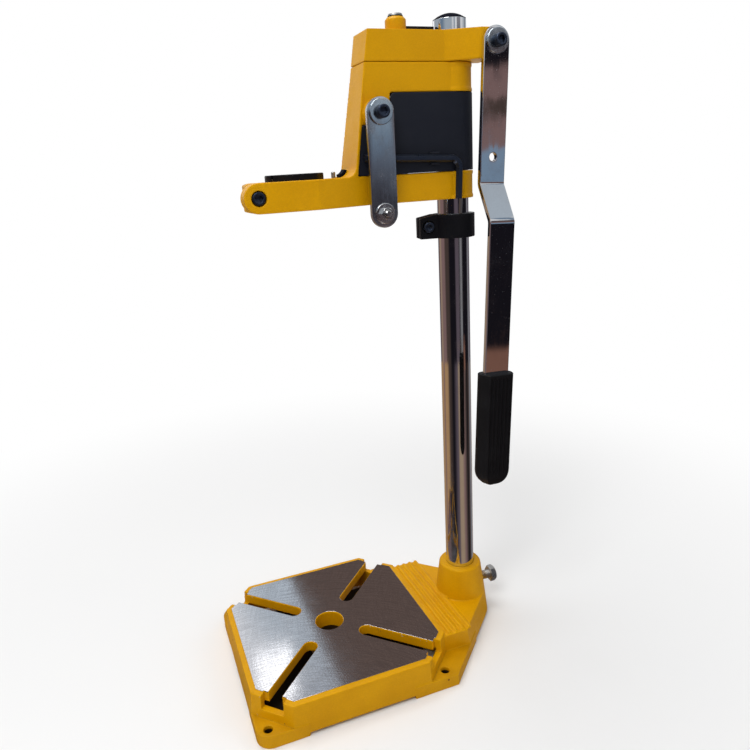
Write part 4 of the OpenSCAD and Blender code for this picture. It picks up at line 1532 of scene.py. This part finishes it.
@dataclass
class HexKey:
    """Hexagon key in its clip, bent from bar."""

    flats: float = 5.0
    bend: float = 7.0
    tilt: float = 2.6
    long_arm: float = 78.0
    short_arm: float = 30.0
    corner_x: float = -126.5
    y: float = 18.85
    z: float = 414.3

    def make(self) -> None:
        """Builds the key."""
        lean = math.radians(self.tilt)
        ends = [(self.long_arm, 0.0), (0.0, 0.0), (0.0, -self.short_arm)]
        line = fillet(ends, [0, self.bend, 0], 16, closed=False)
        flat = np.vstack([line[:1], (line[0] + line[1]) / 2, line[1:]])
        x = self.corner_x + flat[:, 0] * math.cos(lean) - flat[:, 1] * math.sin(lean)
        z = self.z + flat[:, 0] * math.sin(lean) + flat[:, 1] * math.cos(lean)
        section = fillet(circle(0, 0, self.flats / 2 / math.cos(math.pi / 6), 6), 0.35, 2)
        solid = Solid().sweep(np.column_stack([x, np.full(len(x), self.y), z]), section, (0.0, 1.0, 0.0))
        stand_for(solid.piece("hex_key_piece", 24.0), PALETTE.oxide, "hex_key")


@dataclass
class Carriage:
    """Sliding carriage with its covers, collar ring, clamp, key and link pivot."""

    ring_inner: float = 19.0
    ring_gap: float = 2.4
    ring_turn: float = 28.0
    nut_flats: float = 10.0
    leaf_round: float = 8.0
    leaf_foot: float = 405.1
    leaf_thick: float = 2.2
    leaf_turns: tuple[float, float] = (200.0, 258.0)

    def collar_ring(self) -> None:
        """Builds the split reducing ring."""
        box = cad("collar_ring")
        profile = fillet(rectangle(self.ring_inner, box.low[2], box.radius, box.high[2]), [0.4, 0.4, 0.8, 0.8])
        half = math.degrees(self.ring_gap / 2 / box.radius)
        turns = np.radians(np.linspace(self.ring_turn + half, self.ring_turn + 360 - half, 97))
        rings = [np.column_stack([profile[:, 0] * math.cos(t), profile[:, 0] * math.sin(t), profile[:, 1]])
                 for t in turns]
        stand_for(Solid().loft(rings).piece("collar_ring_piece", 30.0), PALETTE.black_paint, "collar_ring")

    def stud(self) -> None:
        """Builds the stud behind the collar."""
        box = cad("arm_stud")
        r, low, high = box.radius, box.low[2], box.high[2]
        seat = Seat((box.middle[0], box.middle[1], 0.0), points=48)
        profile = [(r - 0.4, low), (r, low + 0.4), (r, high - 0.7), (r - 0.15, high - 0.35), (r - 0.6, high),
                   (0.2, high)]
        stand_for(Solid().turn(seat, profile).piece("arm_stud_piece", 40.0), PALETTE.dull_zinc, "arm_stud")

    def leaf(self) -> None:
        """Builds the curved leaf behind the collar."""
        box, outer = cad("arm_stop"), self.leaf_round - 0.1
        first, last = self.leaf_turns
        x, z = box.low[0] - outer * math.cos(math.radians(first)), self.leaf_foot + self.leaf_round
        inner = outer - self.leaf_thick
        outline = np.vstack([arc(x, z, outer, first, last, 13), arc(x, z, inner, last, first, 13)])
        solid = Solid().plate([outline], box.low[1], box.high[1], 0.3, shape=upright)
        stand_for(solid.piece("arm_stop_piece"), PALETTE.cap, "arm_stop")

    def make(self) -> None:
        """Builds every piece of the carriage."""
        skin = CastSkin(("carriage", "carriage_arm"), 0.55, 3, 0.22).grow("carriage_casting")
        stand_for(skin, PALETTE.yellow, "carriage", "carriage_arm")
        Cover("near_cover", 1, True).make()
        Cover("far_cover", -1, False).make()
        self.collar_ring()
        SocketScrew.across("collar_clamp_screw").make()
        hex_nut("collar_clamp_nut", Axis.FAR, self.nut_flats, 3.05)
        self.stud()
        self.leaf()
        HexKey().make()
        pivot("link_pivot")
        dress(PALETTE.brass, "upper_bush", "lower_bush", "rod_bush", "link_bush")


@dataclass
class Link:
    """Swinging link with the bolt, washer and nut at its free end."""

    width: float = 20.8
    between: float = 71.0
    upper_hole: float = 5.05
    lower_hole: float = 2.55
    edge: float = 0.55
    bolt: float = 2.5
    bolt_pitch: float = 0.8
    bolt_thread: float = 0.38
    flats: float = 8.0
    bolt_head: float = 3.4

    def bar(self) -> None:
        """Builds the flat link."""
        box, r = cad("link"), self.width / 2
        x, top = box.middle[0], box.high[2] - r
        bottom = top - self.between
        outline = np.vstack([arc(x, top, r, 0, 180, 33), arc(x, bottom, r, 180, 360, 33)])
        holes = [circle(x, top, self.upper_hole), circle(x, bottom, self.lower_hole)]
        solid = Solid().plate([outline, *holes], box.low[1], box.high[1], self.edge, shape=upright)
        stand_for(solid.piece("link_bar", 30.0), PALETTE.zinc, "link")

    def end_bolt(self) -> None:
        """Builds the bolt at the free end."""
        box, r = cad("link_bolt"), self.bolt
        seat = Seat.on((box.middle[0], box.low[1] + self.bolt_head, box.middle[2]), Axis.FAR)
        length = box.size[1] - self.bolt_head
        rings = seat.rings([(r - 0.6, -length), (r - 0.1, -length + 0.4)])
        rings += Thread(r, self.bolt_pitch, self.bolt_thread).rings(seat, -length + 0.5, -0.5)
        rings += seat.rings([(r, -0.2), (self.flats / 2 * 0.92, 0.0)])
        rings += HexHead(self.flats, 0.1, self.bolt_head).rings(seat)
        stand_for(Solid().loft(rings).piece("link_bolt_piece", 22.0), PALETTE.bright_zinc, "link_bolt")

    def make(self) -> None:
        """Builds every piece of the link."""
        self.bar()
        self.end_bolt()
        washer("link_washer", 2.6, PALETTE.bright_zinc)
        hex_nut("link_nut", Axis.NEAR, self.flats, self.bolt + 0.05)


@dataclass
class Lever:
    """Chromed feed lever, bent outwards below the link's hole, and its grip."""

    tilt: float = 2.7
    inner_y: float = 26.4
    width: float = 21.5
    thick: float = 4.0
    above: float = 30.0
    pivot_hole: float = 5.05
    link_hole: float = 3.0
    link_hole_at: float = 81.7
    bend_from: float = 102.0
    bend_to: float = 129.0
    out: float = 17.0
    bend_r: float = 6.0
    length: float = 331.0
    edge: float = 0.7
    grip_from: float = 248.0
    grip_len: float = 97.0
    grip_w: float = 28.0
    grip_t: float = 15.0
    grip_corner: float = 5.0
    grip_end: float = 9.0
    grooves: int = 7
    groove_half: float = 0.95
    groove_deep: float = 0.85
    groove_from: float = 3.0
    groove_to: float = 11.0
    groove_in: float = 2.4
    groove_out: float = 4.0
    groove_rim: float = 7.0

    def hung(self, points: np.ndarray) -> np.ndarray:
        """Tilts points about the pivot.

        Args:
            points: X across the lever, Y as it is, and Z from the pivot.

        Returns:
            The points in space.
        """
        lean, pivot_at = -math.radians(self.tilt), cad("lever_pivot_washer").middle
        x = points[:, 0] * math.cos(lean) + points[:, 2] * math.sin(lean)
        z = -points[:, 0] * math.sin(lean) + points[:, 2] * math.cos(lean)
        return np.column_stack([pivot_at[0] + x, points[:, 1], pivot_at[2] + z])

    def path(self) -> np.ndarray:
        """Draws the lever's middle line, down from above the pivot.

        Returns:
            The line, as Y and Z.
        """
        mid = self.inner_y + self.thick / 2
        middle = [(mid, self.above), (mid, -self.bend_from), (mid + self.out, -self.bend_to),
                  (mid + self.out, -self.length - 10)]
        return fillet(middle, [0, self.bend_r, self.bend_r, 0], 10, closed=False)

    def bent(self, points: np.ndarray) -> np.ndarray:
        """Bends a flat bar along the path.

        Args:
            points: X across, distance down the bar, and height from its middle.

        Returns:
            The points in space.
        """
        line = self.path()
        steps = np.linalg.norm(np.diff(line, axis=0), axis=1)
        run = np.concatenate([[0], np.cumsum(steps)]) - self.above
        way = np.gradient(line, run, axis=0)
        way /= np.linalg.norm(way, axis=1, keepdims=True)
        y, z, dy, dz = (np.interp(points[:, 1], run, values) for values in (*line.T, *way.T))
        size = np.hypot(dy, dz)
        y, z = y - points[:, 2] * dz / size, z + points[:, 2] * dy / size
        return self.hung(np.column_stack([points[:, 0], y, z]))

    def bar(self) -> None:
        """Builds the bar."""
        r = self.width / 2
        slope = math.hypot(self.out, self.bend_to - self.bend_from) - (self.bend_to - self.bend_from)
        end = self.length + slope
        outline = np.vstack([arc(0, 0, r, 180, 360, 33), [(r, end), (-r, end)]])
        holes = [circle(0, 0, self.pivot_hole), circle(0, self.link_hole_at, self.link_hole)]
        bends = [at + k for at in (self.bend_from, self.bend_to + slope) for k in range(-6, 7)]
        straight = [150.0 + 20 * k for k in range(9)]
        cuts = [(1, v) for v in bends + straight]
        solid = Solid().plate([outline, *holes], -self.thick / 2, self.thick / 2, self.edge, cuts, self.bent)
        stand_for(solid.piece("lever_bar", 30.0), PALETTE.lever_chrome, "lever_arm")

    def grip_section(self) -> tuple[np.ndarray, np.ndarray]:
        """Draws the grip's section.

        Returns:
            Its points, and how deep a groove is at each, from 0 to 1.
        """
        c, hw, ht = self.grip_corner, self.grip_w / 2, self.grip_t / 2
        top = [(x, ht) for x in np.linspace(hw - c, -(hw - c), 85)]
        side = arc(-(hw - c), ht - c, c, 90, 180, 9)[1:-1]
        quarter = np.array([*top, *side, (-hw, ht - c)])
        section = np.vstack([quarter, [(-hw, 0.0)], -quarter, [(hw, 0.0)]])
        middles = (np.arange(self.grooves) / (self.grooves - 1) - 0.5) * (self.grip_w - self.groove_rim)
        near = np.min(np.abs(section[:, 0:1] - middles), axis=1)
        dip = np.clip(1 - (near / self.groove_half) ** 2, 0, 1) ** 0.6
        return section, dip * (np.abs(section[:, 1]) > ht - 0.6)

    def grip(self) -> None:
        """Builds the grip with its lengthwise grooves."""
        hw, ht, length, end = self.grip_w / 2, self.grip_t / 2, self.grip_len, self.grip_end
        mid = self.inner_y + self.out + self.thick / 2
        section, dip = self.grip_section()
        plain = (0.9, 3.0, 3.6, 4.2, 4.8, 5.4, 20, 40, 60, *np.linspace(length - hw, length - end, 4))
        levels = [(0.0, 0.75), (0.35, 0.93), *((down, 1.0) for down in plain)]
        levels += [(length - end + end * math.sin(t), math.cos(t)) for t in np.radians(np.linspace(8, 86, 12))]
        rings = []
        for down, full in levels:
            below = max(down - (length - hw), 0.0)
            wide = math.sqrt(max(hw * hw - below * below, 0.6)) / hw
            fade = np.clip((down - self.groove_from) / self.groove_in, 0, 1)
            fade *= np.clip((length - self.groove_to - down) / self.groove_out, 0, 1)
            x = section[:, 0] * wide * (1.0 if down > 5 else 1 - (1 - full) * ht / hw)
            y = section[:, 1] * full - np.sign(section[:, 1]) * dip * self.groove_deep * fade
            rings.append(self.hung(np.column_stack([x, mid + y, np.full(len(x), -self.grip_from - down)])))
        stand_for(Solid().loft(rings).piece("lever_grip_piece", 42.0), PALETTE.rubber, "lever_grip")

    def make(self) -> None:
        """Builds the bar and the grip."""
        self.bar()
        self.grip()


@dataclass
class StopCollar:
    """Depth stop on the column, and its screw."""

    turn: float = 12.0
    screw_out: float = 22.4
    screw_seat: float = 5.5
    screw_len: float = 10.5
    screw_radius: float = 2.5
    screw_head: float = 4.25
    screw_flats: float = 4.0

    def make(self) -> None:
        """Builds the collar and the screw."""
        skin = CastSkin(("stop_collar",), 0.42, 3, 0.35).grow("stop_collar_piece")
        stand_for(skin, PALETTE.black_paint, "stop_collar")
        lean = math.radians(self.turn)
        out, near = np.array([math.cos(lean), -math.sin(lean)]), np.array([math.sin(lean), math.cos(lean)])
        spot = np.array([COLUMN_X, 0.0]) + out * self.screw_out + near * self.screw_seat
        seat = Seat((*spot, cad("stop_collar_screw").middle[2]), (*near, 0.0), (*out, 0.0))
        SocketScrew("stop_collar_screw", seat, self.screw_len, self.screw_radius, self.screw_head,
                    self.screw_flats).make()


# ---------------------------------------------------------------- the studio


class Tone(Enum):
    """Tones of the workshop that the metal mirrors."""

    BLACK = (0.008, 0.007, 0.010)
    UMBER = (0.060, 0.042, 0.036)
    BROWN = (0.205, 0.128, 0.122)
    RUST = (0.190, 0.092, 0.066)
    OCHRE = (0.380, 0.230, 0.115)
    TAN = (0.330, 0.240, 0.165)
    MAUVE = (0.100, 0.078, 0.095)
    GREY = (0.240, 0.235, 0.255)
    STEEL = (0.190, 0.270, 0.370)
    BLUE = (0.460, 0.520, 0.580)
    PALE = (0.900, 0.910, 0.930)


Stops = Sequence[tuple[float, Tone]]
WHITE = (1.0, 1.0, 1.0)


@dataclass
class Studio:
    """Camera at the photograph's place, pale floor, soft lamps and screens for the metal.

    Args:
        side: width of the picture, in pixels.
        focal: the lens's focal length, in pixels.
        centre: where the lens's axis meets the picture, in pixels.
        yaw: the camera's turn from -Y towards +X, in degrees.
        pitch: how far it looks down, in degrees.
        roll: its turn about its own axis, in degrees.
        place: where it stands, in mm.
        sensor: width of the sensor, in mm.
        ambient: light of the surroundings.
        aim: where the lamps point, in metres.
        reach: half the floor's width, in metres.
        fade: distances between which the floor runs into the background, in metres.
        pale: the floor.
        shade: the painted shadow on the floor inside the base.
        hollow: half the width of the base's hollow, in metres.
        foot: radius of the painted shadow under a foot hole, in mm.
        far: reach of the workshop's walls, in metres.
        back: Y of the screens behind the stand, in metres.
        edge: reach and height of the two ends of the line where dark turns pale there, in metres.
    """

    side: float = 750.0
    focal: float = 659.62
    centre: tuple[float, float] = (357.26, 349.22)
    yaw: float = -19.58
    pitch: float = 14.94
    roll: float = 3.40
    place: Point = (130.95, 483.47, 407.93)
    sensor: float = 36.0
    ambient: float = 0.42
    aim: Point = (-0.05, 0.0, 0.25)
    reach: float = 14.0
    fade: tuple[float, float] = (0.25, 0.75)
    pale: Colour = (0.86, 0.86, 0.86)
    shade: Colour = (0.05, 0.04, 0.03)
    hollow: float = 0.074
    foot: float = 5.0
    far: float = 0.85
    back: float = -0.75
    edge: tuple[tuple[float, float], ...] = ((-0.098, 0.40), (-0.359, 1.25))

    def camera(self) -> None:
        """Places the camera."""
        yaw, pitch, roll = (math.radians(v) for v in (self.yaw, self.pitch, self.roll))
        ahead = Vector((math.sin(yaw) * math.cos(pitch), -math.cos(yaw) * math.cos(pitch), -math.sin(pitch)))
        right = ahead.cross(Vector((0, 0, 1))).normalized()
        down = ahead.cross(right)
        across = right * math.cos(roll) + down * math.sin(roll)
        below = down * math.cos(roll) - right * math.sin(roll)
        data = bpy.data.cameras.new("camera")
        data.sensor_width, data.lens = self.sensor, self.focal / self.side * self.sensor
        data.shift_x = (self.side / 2 - self.centre[0]) / self.side
        data.shift_y = (self.centre[1] - self.side / 2) / self.side
        data.clip_start, data.clip_end = 0.01, 50.0
        turn = Matrix((across, -below, -ahead)).transposed().to_4x4()
        made = placed("camera", data)
        made.matrix_world = Matrix.Translation(Vector(self.place) * MM) @ turn
        bpy.context.scene.camera = made

    @staticmethod
    def seen(w: Wiring, gloss: float) -> Socket:
        """Tells the rays that look at the background, straight or through glass.

        Args:
            w: the tree's wiring.
            gloss: what rays off metal and gloss get.

        Returns:
            1 for those rays, and less for others.
        """
        path = w.node("LightPath").outputs
        both = w.math("MAXIMUM", path["Is Camera Ray"], path["Is Transmission Ray"])
        return w.math("MAXIMUM", both, w.times(path["Is Glossy Ray"], gloss))

    def world(self) -> None:
        """Makes the pale surroundings."""
        world = bpy.data.worlds.new("pale_room")
        w = Wiring.blank(world)
        strength = w.add(w.times(self.seen(w, 0.0), 1 - self.ambient), self.ambient)
        sky = w.node("Background", {"Color": WHITE, "Strength": strength})
        w.node("OutputWorld", {"Surface": sky.outputs[0]}, is_active_output=True)
        bpy.context.scene.world = world

    @staticmethod
    def staged(name: str, mesh: bpy.types.Mesh, finish: str) -> tuple[Piece, Wiring]:
        """Puts up a floor or a screen with an empty material.

        Args:
            name: its name.
            mesh: its mesh.
            finish: its material's name.

        Returns:
            The object and the wiring of its material's tree.
        """
        made, look = placed(name, mesh), bpy.data.materials.new(finish)
        mesh.materials.append(look)
        return made, Wiring.blank(look)

    def floor(self) -> None:
        """Makes the pale floor, with painted shadow in the base's hollow and under the foot holes, and runs it
        into the background far away.
        """
        mesh = bpy.data.meshes.new("floor")
        ends = rectangle(-self.reach, -self.reach, self.reach, self.reach)
        mesh.from_pydata([(x, y, 0) for x, y in ends], [], [(0, 1, 2, 3)])
        w = self.staged("floor", mesh, "pale_floor")[1]
        spot = w.node("TexCoord").outputs["Object"]
        share = w.times(w.span(w.distance(spot, (0.0, 0.0, 0.0)), *self.fade), self.seen(w, 1.0))
        along, across = (w.math("ABSOLUTE", w.part(spot, index)) for index in (0, 1))
        # painted shadow: the floor is dark under the base's hollow and its foot holes
        dark = w.below(w.math("MAXIMUM", along, across), self.hollow)
        for x, y in FOOT_HOLES:
            dark = w.math("MAXIMUM", dark, w.below(w.distance(spot, (x * MM, y * MM, 0.0)), self.foot * MM))
        paint = w.node("BsdfDiffuse", {"Color": w.mix(dark, self.pale, self.shade)})
        light = w.node("Emission", {"Color": WHITE, "Strength": 1.0})
        both = w.node("MixShader", {0: share, 1: paint.outputs[0], 2: light.outputs[0]})
        w.node("OutputMaterial", {"Surface": both.outputs[0]})

    def lamp(self, name: str, spot: Point, size: float, power: float, mirrored: bool = True) -> None:
        """Adds a soft lamp that points at the stand.

        Args:
            name: the lamp's name.
            spot: its place, in metres.
            size: its width, in metres.
            power: its power, in watts.
            mirrored: whether metal and gloss show it.
        """
        data = bpy.data.lights.new(name, "AREA")
        data.shape, data.size, data.energy = "DISK", size, power
        made = placed(name, data)
        made.visible_glossy = mirrored
        made.location = spot
        made.rotation_euler = (Vector(self.aim) - Vector(spot)).to_track_quat("-Z", "Y").to_euler()

    def screen(self, name: str, points: np.ndarray, across: int, stops: Stops | Tone,
               upright_stops: bool = False, strength: float = 1.0,
               lift: tuple[float, float, Tone] = (2.0, 3.0, Tone.PALE)) -> None:
        """Adds a screen that only metal and gloss see.

        Args:
            name: the screen's name.
            points: a grid of places in metres, row by row.
            across: places in a row.
            stops: one tone, or places from 0 to 1 with the tone at each.
            upright_stops: whether the tones change from row to row, or else along a row.
            strength: brightness of the screen.
            lift: rows from 0 to 1 between which all tones turn into another, and that one.
        """
        rows = len(points) // across
        mesh = bpy.data.meshes.new(name)
        grid = np.arange(rows * across).reshape(rows, across)
        quads = np.stack([grid[:-1, :-1], grid[:-1, 1:], grid[1:, 1:], grid[1:, :-1]], -1).reshape(-1, 4)
        mesh.from_pydata(points.tolist(), [], quads.tolist())
        layer = mesh.uv_layers.new(name="spread")
        for loop in mesh.loops:
            row, place = divmod(loop.vertex_index, across)
            layer.data[loop.index].uv = (place / (across - 1), row / (rows - 1))
        made, w = self.staged(name, mesh, name)
        spread = w.node("SeparateXYZ", {0: w.node("TexCoord").outputs["UV"]}).outputs
        ramp = w.node("ValToRGB", {"Fac": spread[1 if upright_stops else 0]})
        ramp.color_ramp.interpolation = "EASE"
        stops = [(0.0, stops), (1.0, stops)] if isinstance(stops, Tone) else stops
        for _ in stops[2:]:
            ramp.color_ramp.elements.new(0.5)
        for element, (position, tone) in zip(ramp.color_ramp.elements, stops):
            element.position, element.color = position, (*tone.value, 1.0)
        colour = w.mix(w.span(spread[1], lift[0], lift[1]), ramp.outputs[0], lift[2].value)
        light = w.node("Emission", {"Color": colour, "Strength": strength})
        w.node("OutputMaterial", {"Surface": light.outputs[0]})
        made.visible_camera = made.visible_diffuse = made.visible_shadow = made.visible_transmission = False

    @staticmethod
    def wall(turns: Sequence[float], levels: Sequence[tuple[float, float]], count: int) -> np.ndarray:
        """Places the points of a curved wall round the column.

        Args:
            turns: where it starts and ends, in degrees from +Y towards +X.
            levels: reach and height of each row, in metres.
            count: places in a row.

        Returns:
            The points.
        """
        angle = np.radians(np.linspace(turns[0], turns[-1], count))
        return np.vstack([np.column_stack([COLUMN_X * MM + reach * np.sin(angle), reach * np.cos(angle),
                                           np.full(count, height)]) for reach, height in levels])

    def round_wall(self, name: str, levels: Sequence[tuple[float, float]], tones: Stops,
                   **looks: object) -> None:
        """Adds a screen all round the column.

        Args:
            name: the screen's name.
            levels: reach and height of its lower and upper row, in metres.
            tones: angles in degrees from +Y towards +X, with the tone at each.
            looks: the screen's strength and lift.
        """
        first = tones[0][0]
        stops = [((angle - first) / 360.0, tone) for angle, tone in tones]
        self.screen(name, self.wall([angle for angle, _ in tones], levels, 60), 60, stops, **looks)

    def surroundings(self) -> None:
        """Builds the dim workshop that the chrome mirrors, and the pale and dark sides over the table."""
        t, far = Tone, self.far
        self.round_wall("workshop_wall", ((far, 0.0), (far, 0.60)), [
            (-151, t.PALE), (-140, t.GREY), (-112, t.MAUVE), (-96, t.GREY), (-78, t.BLACK), (-46, t.BLACK),
            (-26, t.BLACK), (-20, t.GREY), (-14, t.BLACK), (-4, t.MAUVE), (14, t.MAUVE), (24, t.BLACK),
            (58, t.BLACK), (74, t.UMBER), (92, t.UMBER), (108, t.BROWN), (126, t.BROWN), (148, t.TAN),
            (160, t.BROWN), (172, t.UMBER), (188, t.GREY), (209, t.PALE)], lift=(0.92, 1.0, t.BLUE))
        self.round_wall("workshop_top", ((far, 0.60), (far, 1.1)), [
            (-151, t.PALE), (-115, t.BLUE), (-100, t.GREY), (-92, t.BLUE), (-60, t.PALE), (-44, t.STEEL),
            (-36, t.PALE), (-12, t.PALE), (-6, t.STEEL), (2, t.PALE), (16, t.BLUE), (50, t.BLUE), (80, t.STEEL),
            (110, t.BLUE), (140, t.BLUE), (160, t.GREY), (180, t.BLUE), (209, t.PALE)], strength=0.8)
        self.round_wall("workshop_floor", ((0.02, 0.0006), (far, 0.0006)), [
            (-151, t.TAN), (-100, t.GREY), (-80, t.UMBER), (-62, t.BLACK), (-50, t.UMBER), (-30, t.BROWN),
            (-12, t.TAN), (6, t.TAN), (20, t.MAUVE), (50, t.BLACK), (80, t.UMBER), (100, t.OCHRE),
            (122, t.OCHRE), (132, t.BROWN), (150, t.OCHRE), (209, t.TAN)])
        self.screen("lever_strip", self.wall((-50.0, -24.0), ((0.80, 0.0), (0.80, 0.70)), 12), 12, [
            (0.0, t.RUST), (0.076, t.RUST), (0.10, t.BLACK), (0.49, t.BLACK), (0.53, t.STEEL), (0.620, t.STEEL),
            (0.626, t.BROWN), (0.69, t.BROWN), (0.71, t.UMBER), (0.74, t.UMBER), (0.755, t.BROWN),
            (0.822, t.BROWN), (0.832, t.BLACK), (0.90, t.BLACK), (0.94, t.GREY), (1.0, t.GREY)], True)
        self.screen("link_strip", self.wall((-22.0, -12.0), ((0.80, 0.0), (0.80, 0.60)), 8), 8, [
            (0.0, t.GREY), (0.42, t.BROWN), (0.48, t.UMBER), (0.52, t.BLACK), (0.61, t.BLACK), (0.68, t.MAUVE),
            (0.78, t.STEEL), (0.90, t.BLUE), (1.0, t.GREY)], True)
        pane = [(-0.75 + 0.35 * a, 0.53 + 0.25 * b - 0.2 * a, 1.27 - 0.2 * b)
                for b in (-1, 1) for a in (-1, 1)]
        self.screen("bend_pane", np.array(pane), 2, t.BLUE, strength=0.95)
        dark = np.array([(x, self.back, z) for reach, z in self.edge for x in (-1.0, reach)])
        self.screen("dark_side", dark, 2, t.UMBER, strength=2.2)
        pale = np.array([(x, self.back, z) for reach, z in self.edge for x in (reach, 0.9)])
        self.screen("pale_side", pale, 2, [(0.0, t.BLUE), (0.05, t.BLUE), (0.16, t.PALE), (1.0, t.PALE)],
                    strength=1.25, lift=(0.05, 0.95, t.GREY))
        glow = np.array([(x, self.back + 0.01, z) for z in (0.64, 0.79) for x in (-0.11, -0.03)])
        self.screen("glow_side", glow, 2, t.PALE, strength=2.0)

    def make(self) -> None:
        """Builds the studio."""
        self.camera()
        self.world()
        self.floor()
        self.lamp("key", (0.9, 0.9, 1.7), 0.9, 16.0)
        self.lamp("fill", (-1.8, 0.6, 1.7), 1.2, 6.0, False)
        self.lamp("top", (0.2, -0.3, 2.1), 1.2, 17.0)
        self.surroundings()
        bpy.context.scene.view_settings.view_transform = "Standard"


def main() -> None:
    """Builds the stand and its studio."""
    logging.basicConfig(level=logging.INFO, format="%(name)s %(message)s")
    for part in (Studio(), Base(), Column(), Head(), Carriage(), Link(), Lever(), StopCollar()):
        LOG.info("building %s", type(part).__name__)
        part.make()
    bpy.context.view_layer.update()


if __name__ == "__main__":
    main()
